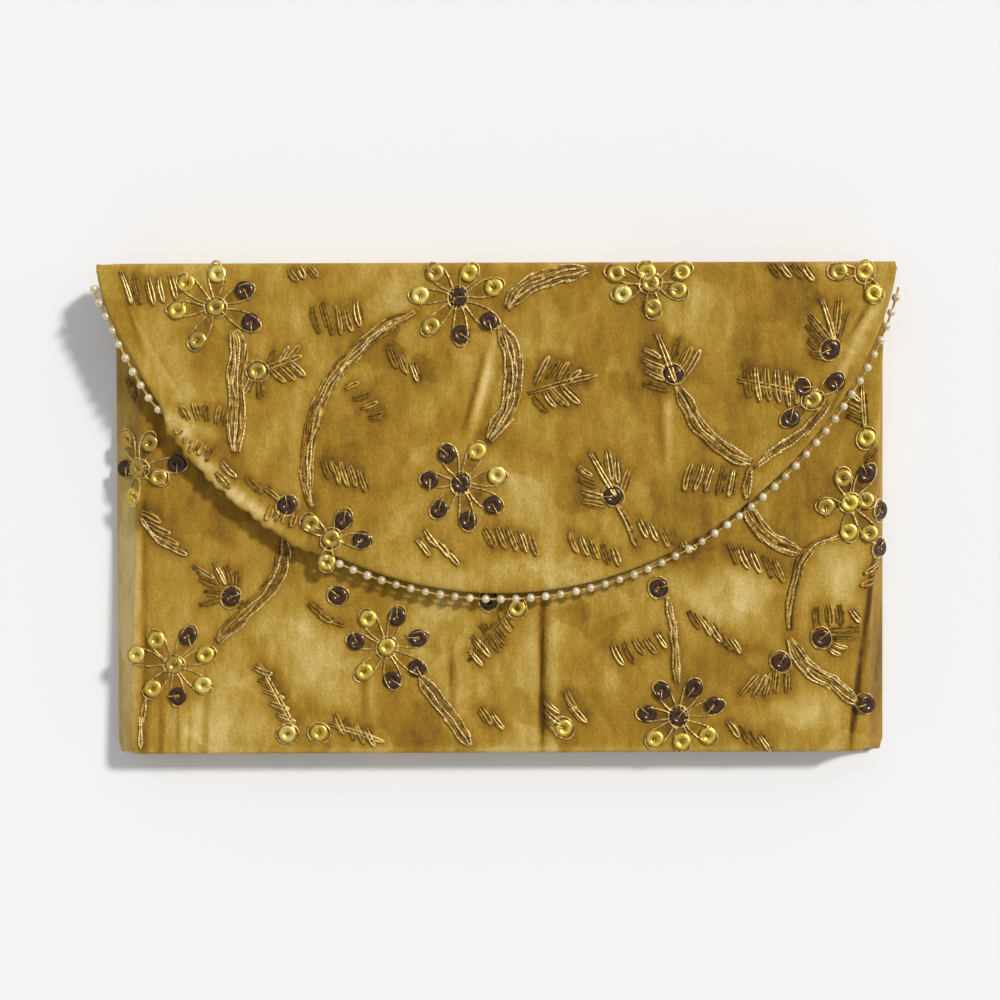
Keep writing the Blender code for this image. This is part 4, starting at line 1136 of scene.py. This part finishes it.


# Lighter (+) and darker (-) places of the pile, and painted light and shade on the front's side strips:
# centre, reach along X and Y, and amount
FLAP_TONES = (
    (-108, 50, 12, 22, 0.1), (-96, 34, 9, 9, 0.12), (-70, 76, 40, 5, 0.09), (-60, 62, 12, 8, 0.06),
    (-40, 70, 10, 8, 0.04), (20, 62, 12, 12, 0.05), (68, 68, 14, 10, 0.06), (95, 76, 24, 4, 0.08),
    (10, 8, 9, 12, 0.16), (22, 20, 10, 10, 0.06), (0, -19, 40, 6, 0.2), (-30, 0, 12, 10, 0.08),
    (-36, 14, 10, 8, 0.07), (46, -8, 14, 7, 0.05), (-72, 16, 8, 12, 0.06), (-68, 30, 7, 10, 0.06),
    (84, 32, 6, 5, 0.06), (62, 50, 8, 14, 0.03), (-45, 26, 13, 18, -0.07), (-30, 40, 14, 14, -0.04),
    (30, 28, 16, 16, -0.05), (60, 2, 14, 9, -0.07), (36, 60, 10, 10, -0.06), (70, 38, 12, 10, -0.06),
    (86, 52, 10, 10, -0.08), (-80, 56, 10, 8, -0.05), (-20, 48, 8, 10, -0.05), (-60, -4, 8, 8, -0.04),
    (100, 44, 10, 9, -0.06),
)
FRONT_TONES = (
    (-84, -56, 8, 8, 0.12), (-74, -36, 9, 8, 0.1), (-58, -54, 12, 12, 0.2), (-60, -42, 12, 9, 0.15),
    (46, -46, 12, 8, 0.08), (78, -34, 14, 6, 0.08), (-48, -60, 10, 12, 0.1), (-96, -70, 20, 9, 0.24),
    (-92, -12, 16, 9, -0.03), (-20, -35, 10, 10, 0.12), (-6, -58, 12, 16, 0.06), (8, -44, 5, 20, 0.08),
    (-16, -62, 6, 14, 0.06), (60, -34, 20, 10, 0.14), (76, -24, 16, 9, 0.17), (110, -20, 11, 12, 0.24),
    # (123, -50) darkens the right side strip, which faces the sun, as painted shade; (-123, -30) below
    # lightens the left side strip, which faces away, as painted light
    (106, -66, 16, 9, 0.15), (84, -64, 12, 6, 0.04), (123, -50, 5, 30, -0.24), (38, -50, 5, 12, 0.08),
    (-123, -30, 6, 60, 0.42), (-116, 20, 8, 26, -0.09), (-100, 4, 12, 10, -0.07), (-62, -66, 7, 9, -0.13),
    (-52, -76, 8, 5, -0.05), (24, -54, 9, 20, -0.06), (40, -68, 14, 9, -0.1), (32, -34, 8, 6, -0.08),
    (64, -14, 9, 7, -0.16), (-28, -72, 10, 6, -0.08), (96, 0, 10, 14, -0.09), (86, -44, 8, 8, -0.07),
    (-70, -22, 12, 10, -0.05),
)

# Lines painted lighter and darker: mostly painted light on pleats and ridges and painted shade in creases,
# and lighter bands along some edges: two ends, half width, and amount
FLAP_SHADING_LINES = (
    ((-1.6, 55), (-9.2, 24), 1.3, 0.42), ((-4.4, 52), (-12.2, 24), 0.9, -0.42),
    ((1.0, 50), (-5.4, 26), 0.9, -0.16), ((53.6, 38), (53.9, 15), 1.2, 0.3),
    ((-29.7, 52), (-27.8, 37), 1.0, 0.2), ((50.8, 37), (51.2, 16), 0.9, -0.2),
    ((-63, 40), (-67, 10), 2.0, 0.1), ((-33, 42), (-36, 24), 1.4, 0.12), ((-19, 60), (-22, 40), 1.2, -0.1),
    ((24, 70), (22, 48), 1.3, 0.08), ((-108, 33), (-84, 6), 2.2, 0.28),
    ((-90, 9.5), (-62, -10.5), 2.2, 0.24), ((-105, 31), (-94, 15), 2.8, 0.3),
    ((-98, 20), (-86, 7.5), 2.8, 0.3), ((-89, 10), (-75, -1), 2.8, 0.32), ((-78, 1), (-63, -8), 2.6, 0.28),
    ((-120.5, 72), (-113.5, 50), 0.8, -0.2), ((119.5, 68.5), (110.5, 54.6), 0.8, -0.3),
    ((112.2, 45.8), (101.5, 24.3), 0.8, -0.3), ((122, 69), (114, 54.5), 1.8, 0.26),
    ((114, 54.5), (106.3, 36), 1.8, 0.24), ((106.3, 36), (98.6, 24.3), 1.8, 0.2),
)
FRONT_SHADING_LINES = (
    ((13.6, -24), (13.2, -80), 0.9, -0.8), ((17.4, -28), (17.0, -78), 1.7, 0.16),
    ((10.4, -28), (10.2, -78), 1.4, 0.08), ((-16.0, -44), (-16.0, -66), 0.8, -0.42),
    ((-13.2, -44), (-13.0, -65), 1.4, 0.14), ((-42, -48), (-42, -68), 1.5, 0.2),
    ((-44.6, -48), (-44.8, -66), 0.9, -0.2), ((-110, -60), (-110.4, -80), 0.8, -0.42),
    ((-104.6, -62), (-104.8, -80), 0.7, -0.36), ((-100.8, -64), (-101.2, -80), 0.6, -0.26),
    ((-95.6, -58), (-96, -80), 0.7, -0.32), ((46, -31), (35, -41), 1.5, 0.14),
    ((43, -33), (28, -48), 1.0, -0.16), ((-115.2, 24), (-115.8, -79), 0.9, -0.4),
    ((123.0, -6), (117.2, -46), 0.9, -0.8), ((117.2, -46), (113.2, -79), 0.9, -0.9),
    ((119, -46), (116, -79), 1.6, 0.12), ((70, -42), (92, -47), 1.2, -0.14),
    ((46, -70), (64, -79), 1.4, 0.08), ((-112, -77.5), (118, -77.5), 1.3, 0.2),
    ((-79, -44), (-68, -67), 3.4, -0.3), ((-36, 0), (-62, -22), 1.5, -0.06),
    ((30, -58), (38, -72), 1.4, -0.12),
)

# How strongly the patches show, and how far and how much painted shade darkens the cloth round the embroidery
TONE_STRENGTH = 1.35
SHADE_REACH = 2.3
SHADE_AMOUNT = 0.24


def paint_tone_and_shading(obj, tones, lines, places):
    """Stores each point's tone and painted shading: patches, lines of painted light and shade, and painted
    shade round the embroidery.
    """
    tree = kdtree.KDTree(max(1, len(places)))
    for i, (x, y) in enumerate(places):
        tree.insert((x, y, 0), i)
    tree.balance()
    values = []
    for vertex in obj.data.vertices:
        x, y = vertex.co.x / MM, vertex.co.y / MM
        # Painted light along pleats and ridges, painted shade along creases
        tone_and_shading = line_marks(x, y, lines, SHADING_LINE_ENDS)
        for cx, cy, rx, ry, value in tones:
            tone_and_shading += TONE_STRENGTH * value * math.exp(-(((x - cx) / rx) ** 2) - ((y - cy) / ry) ** 2)
        # Painted shade on the cloth next to the raised embroidery
        if places:
            distance = tree.find((x, y, 0))[2]
            tone_and_shading -= SHADE_AMOUNT * math.exp(-((distance / SHADE_REACH) ** 2))
        values.append(tone_and_shading)
    attribute = obj.data.attributes.new("tone_and_shading", "FLOAT", "POINT")
    attribute.data.foreach_set("value", values)


# The bag's pieces


def make_cloths(look):
    front = new_object("front_cloth", *front_cloth_mesh(), look)
    paint_tone_and_shading(front, FRONT_TONES, FRONT_SHADING_LINES, embroidery_points(*FRONT_PATTERN))
    thicken(front)
    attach(front, "bag")
    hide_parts("front_cover", "left_gusset", "right_gusset", "base_strip")

    back = new_object("back_cloth", *back_cloth_mesh(), look)
    paint_tone_and_shading(back, (), (), ())
    thicken(back)
    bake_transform(back)
    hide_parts("back_cover")

    flap = new_object("flap_cloth", *flap_cloth_mesh(), look)
    paint_tone_and_shading(flap, FLAP_TONES, FLAP_SHADING_LINES, embroidery_points(*FLAP_PATTERN))
    thicken(flap)
    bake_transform(flap)
    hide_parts("flap_cover", "spine_strip")


def pearl_path():
    """Points along the string of pearls, from its left end to its right end."""
    low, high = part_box("bead_trim")
    middle_z = (low.z + high.z) / 2 / MM
    path = []
    for step in range(PEARL_STEPS + 1):
        turn = math.pi * step / PEARL_STEPS
        tuck = window(math.degrees(turn), *TUCKED, 5)
        x, y = flap_point(turn, PEARL_OUT - TUCK_IN * tuck)
        if y <= SPINE_Y - PEARL_START:
            flare = 1.8 * math.exp(-(((y - SPINE_Y + PEARL_START) / 8) ** 2)) if x < 0 else 0
            path.append(Vector((x - flare, y, middle_z - TUCK_DOWN * tuck)))
    return path


def add_sphere(points, faces, centre, radius, columns=22, rows=12):
    first = len(points)
    for row in range(1, rows):
        polar = math.pi * row / rows
        for column in range(columns):
            turn = 2 * math.pi * column / columns
            points.append(centre + radius * around(math.sin(polar), turn, math.cos(polar)))
    top, bottom = len(points), len(points) + 1
    points.append(centre + radius * UP)
    points.append(centre - radius * UP)
    for column in range(columns):
        other = (column + 1) % columns
        for row in range(rows - 2):
            a, b = first + row * columns, first + (row + 1) * columns
            faces.append((a + column, b + column, b + other, a + other))
        faces.append((top, first + column, first + other))
        last = first + (rows - 2) * columns
        faces.append((bottom, last + other, last + column))


def make_pearls(pearl, thread):
    """The pearls on their thread, under the edge where the cloth bulges out."""
    path = pearl_path()
    points, faces = [], []
    walked, next_pearl = 0, 0
    for before, here in zip(path, path[1:]):
        if walked >= next_pearl:
            add_sphere(points, faces, before, random.uniform(*PEARL_RADII))
            next_pearl += PEARL_PITCH
        walked += (here - before).length
    pearls = new_object("pearls", points, faces, pearl)
    string = Threads()
    string.tube(path[::4], PEARL_THREAD, 6)
    cord = new_object("pearl_thread", string.points, string.faces, thread)
    for piece, slot in ((pearls, "pearl"), (cord, "gold_thread")):
        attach(piece, "flap")
    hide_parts("bead_trim")


def nodes_named(*starts):
    return [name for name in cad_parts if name.startswith(starts)]


def dress_nodes():
    """Materials for the frame's nodes that stay as they are."""
    satin, card = satin_look(), card_look()
    plated = plated_look("Plated snap", (0.78, 0.72, 0.58), 0.25)
    magnet = plated_look("Ring magnet", (0.08, 0.08, 0.085), 0.5)
    looks = {
        "pocket_lining": satin, "spine_lining": satin, "flap_lining": satin,
        "front_board": card, "back_board": card, "flap_board": card,
        "socket_base": plated, "socket_case": plated, "socket_washer": plated,
        "snap_stud": plated, "stud_washer": plated, "socket_magnet": magnet,
    }
    for name, look in looks.items():
        for material_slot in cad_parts[name].material_slots:
            material_slot.material = look


def make_embroidery():
    looks = {
        "g": foil("Gold foil", (0.88, 0.62, 0.1), 0.32, 1),
        "b": foil("Bright gold foil", (0.98, 0.76, 0.2), 0.32, 0.9),
        "o": foil("Dull gold foil", (0.6, 0.4, 0.08), 0.32, 0.9),
        "d": foil("Dark foil", (0.066, 0.03, 0.015), 0.26, 0.5, 0.2),
        "gold": metal_thread("Gold thread", (0.84, 0.61, 0.26), 0.42, 0.6),
        "tan": metal_thread("Tan thread", (0.6, 0.38, 0.08), 0.55, 0.2),
        "brown": metal_thread("Brown-gold thread and shade", (0.31, 0.165, 0.02), 0.65, 0.1),
        "gold_wire": metal_thread("Gold wire", (0.8, 0.58, 0.2), 0.38, 0.7),
    }
    for prefix, body, pattern, height in (
        ("flap", "flap", FLAP_PATTERN, flap_height),
        ("front", "bag", FRONT_PATTERN, front_height),
    ):
        made = sew(prefix, body, pattern, height, looks)
        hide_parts(*nodes_named(prefix + "_flower"))
        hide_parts(*nodes_named(prefix + "_vine", prefix + "_fern"))
    return looks["tan"]


# The studio


def make_floor():
    look = Look("White table", Base_Color=(0.9, 0.905, 0.92, 1), Roughness=0.9, Specular_IOR_Level=0.1)
    corners = [(x * TABLE_REACH, y * TABLE_REACH, 0) for x, y in ((-1, -1), (1, -1), (1, 1), (-1, 1))]
    floor = new_object("table", corners, [(0, 1, 2, 3)], look.material, False)
    floor.location.z = -TABLE_DROP * MM


def make_world():
    """A soft room: even near the table, with pale and dim patches above, which the sequins reflect."""
    world = bpy.data.worlds.new("Soft room")
    bpy.context.scene.world = world
    room = Nodes(world)
    direction = room.add("TexCoord").outputs["Generated"]
    patches = room.add("TexNoise", Vector=direction, Scale=3.6, Detail=1.5).outputs["Fac"]
    height = room.add("SeparateXYZ", Vector=direction).outputs["Z"]
    strength = room.eased(height, 0.1, 0.32, 0.88, room.eased(patches, 0.47, 0.62, 0.16, 1.02))
    room.fill(room.tree.nodes["Background"], Color=(1, 1, 1, 1), Strength=strength)


def make_sun():
    data = bpy.data.lights.new("Window sun", "SUN")
    data.energy = 2.5
    data.angle = math.radians(7)
    data.color = (1, 0.985, 0.96)
    sun = bpy.data.objects.new("Window sun", data)
    sun.rotation_euler = Vector((0.85, 0.6, 1)).to_track_quat("Z", "Y").to_euler()
    bpy.context.scene.collection.objects.link(sun)


def make_camera():
    data = bpy.data.cameras.new("Camera")
    data.lens = 50
    camera = bpy.data.objects.new("Camera", data)
    camera.location = (-0.0011, 0.0103, 0.4644)
    camera.rotation_euler = tuple(math.radians(angle) for angle in (-0.82, -0.13, -0.20))
    bpy.context.scene.collection.objects.link(camera)
    bpy.context.scene.camera = camera


make_camera()
make_floor()
make_world()
make_sun()
bpy.context.scene.view_settings.view_transform = "Standard"
make_cloths(velvet())
thread_look = make_embroidery()
make_pearls(pearl_look(), thread_look)
dress_nodes()
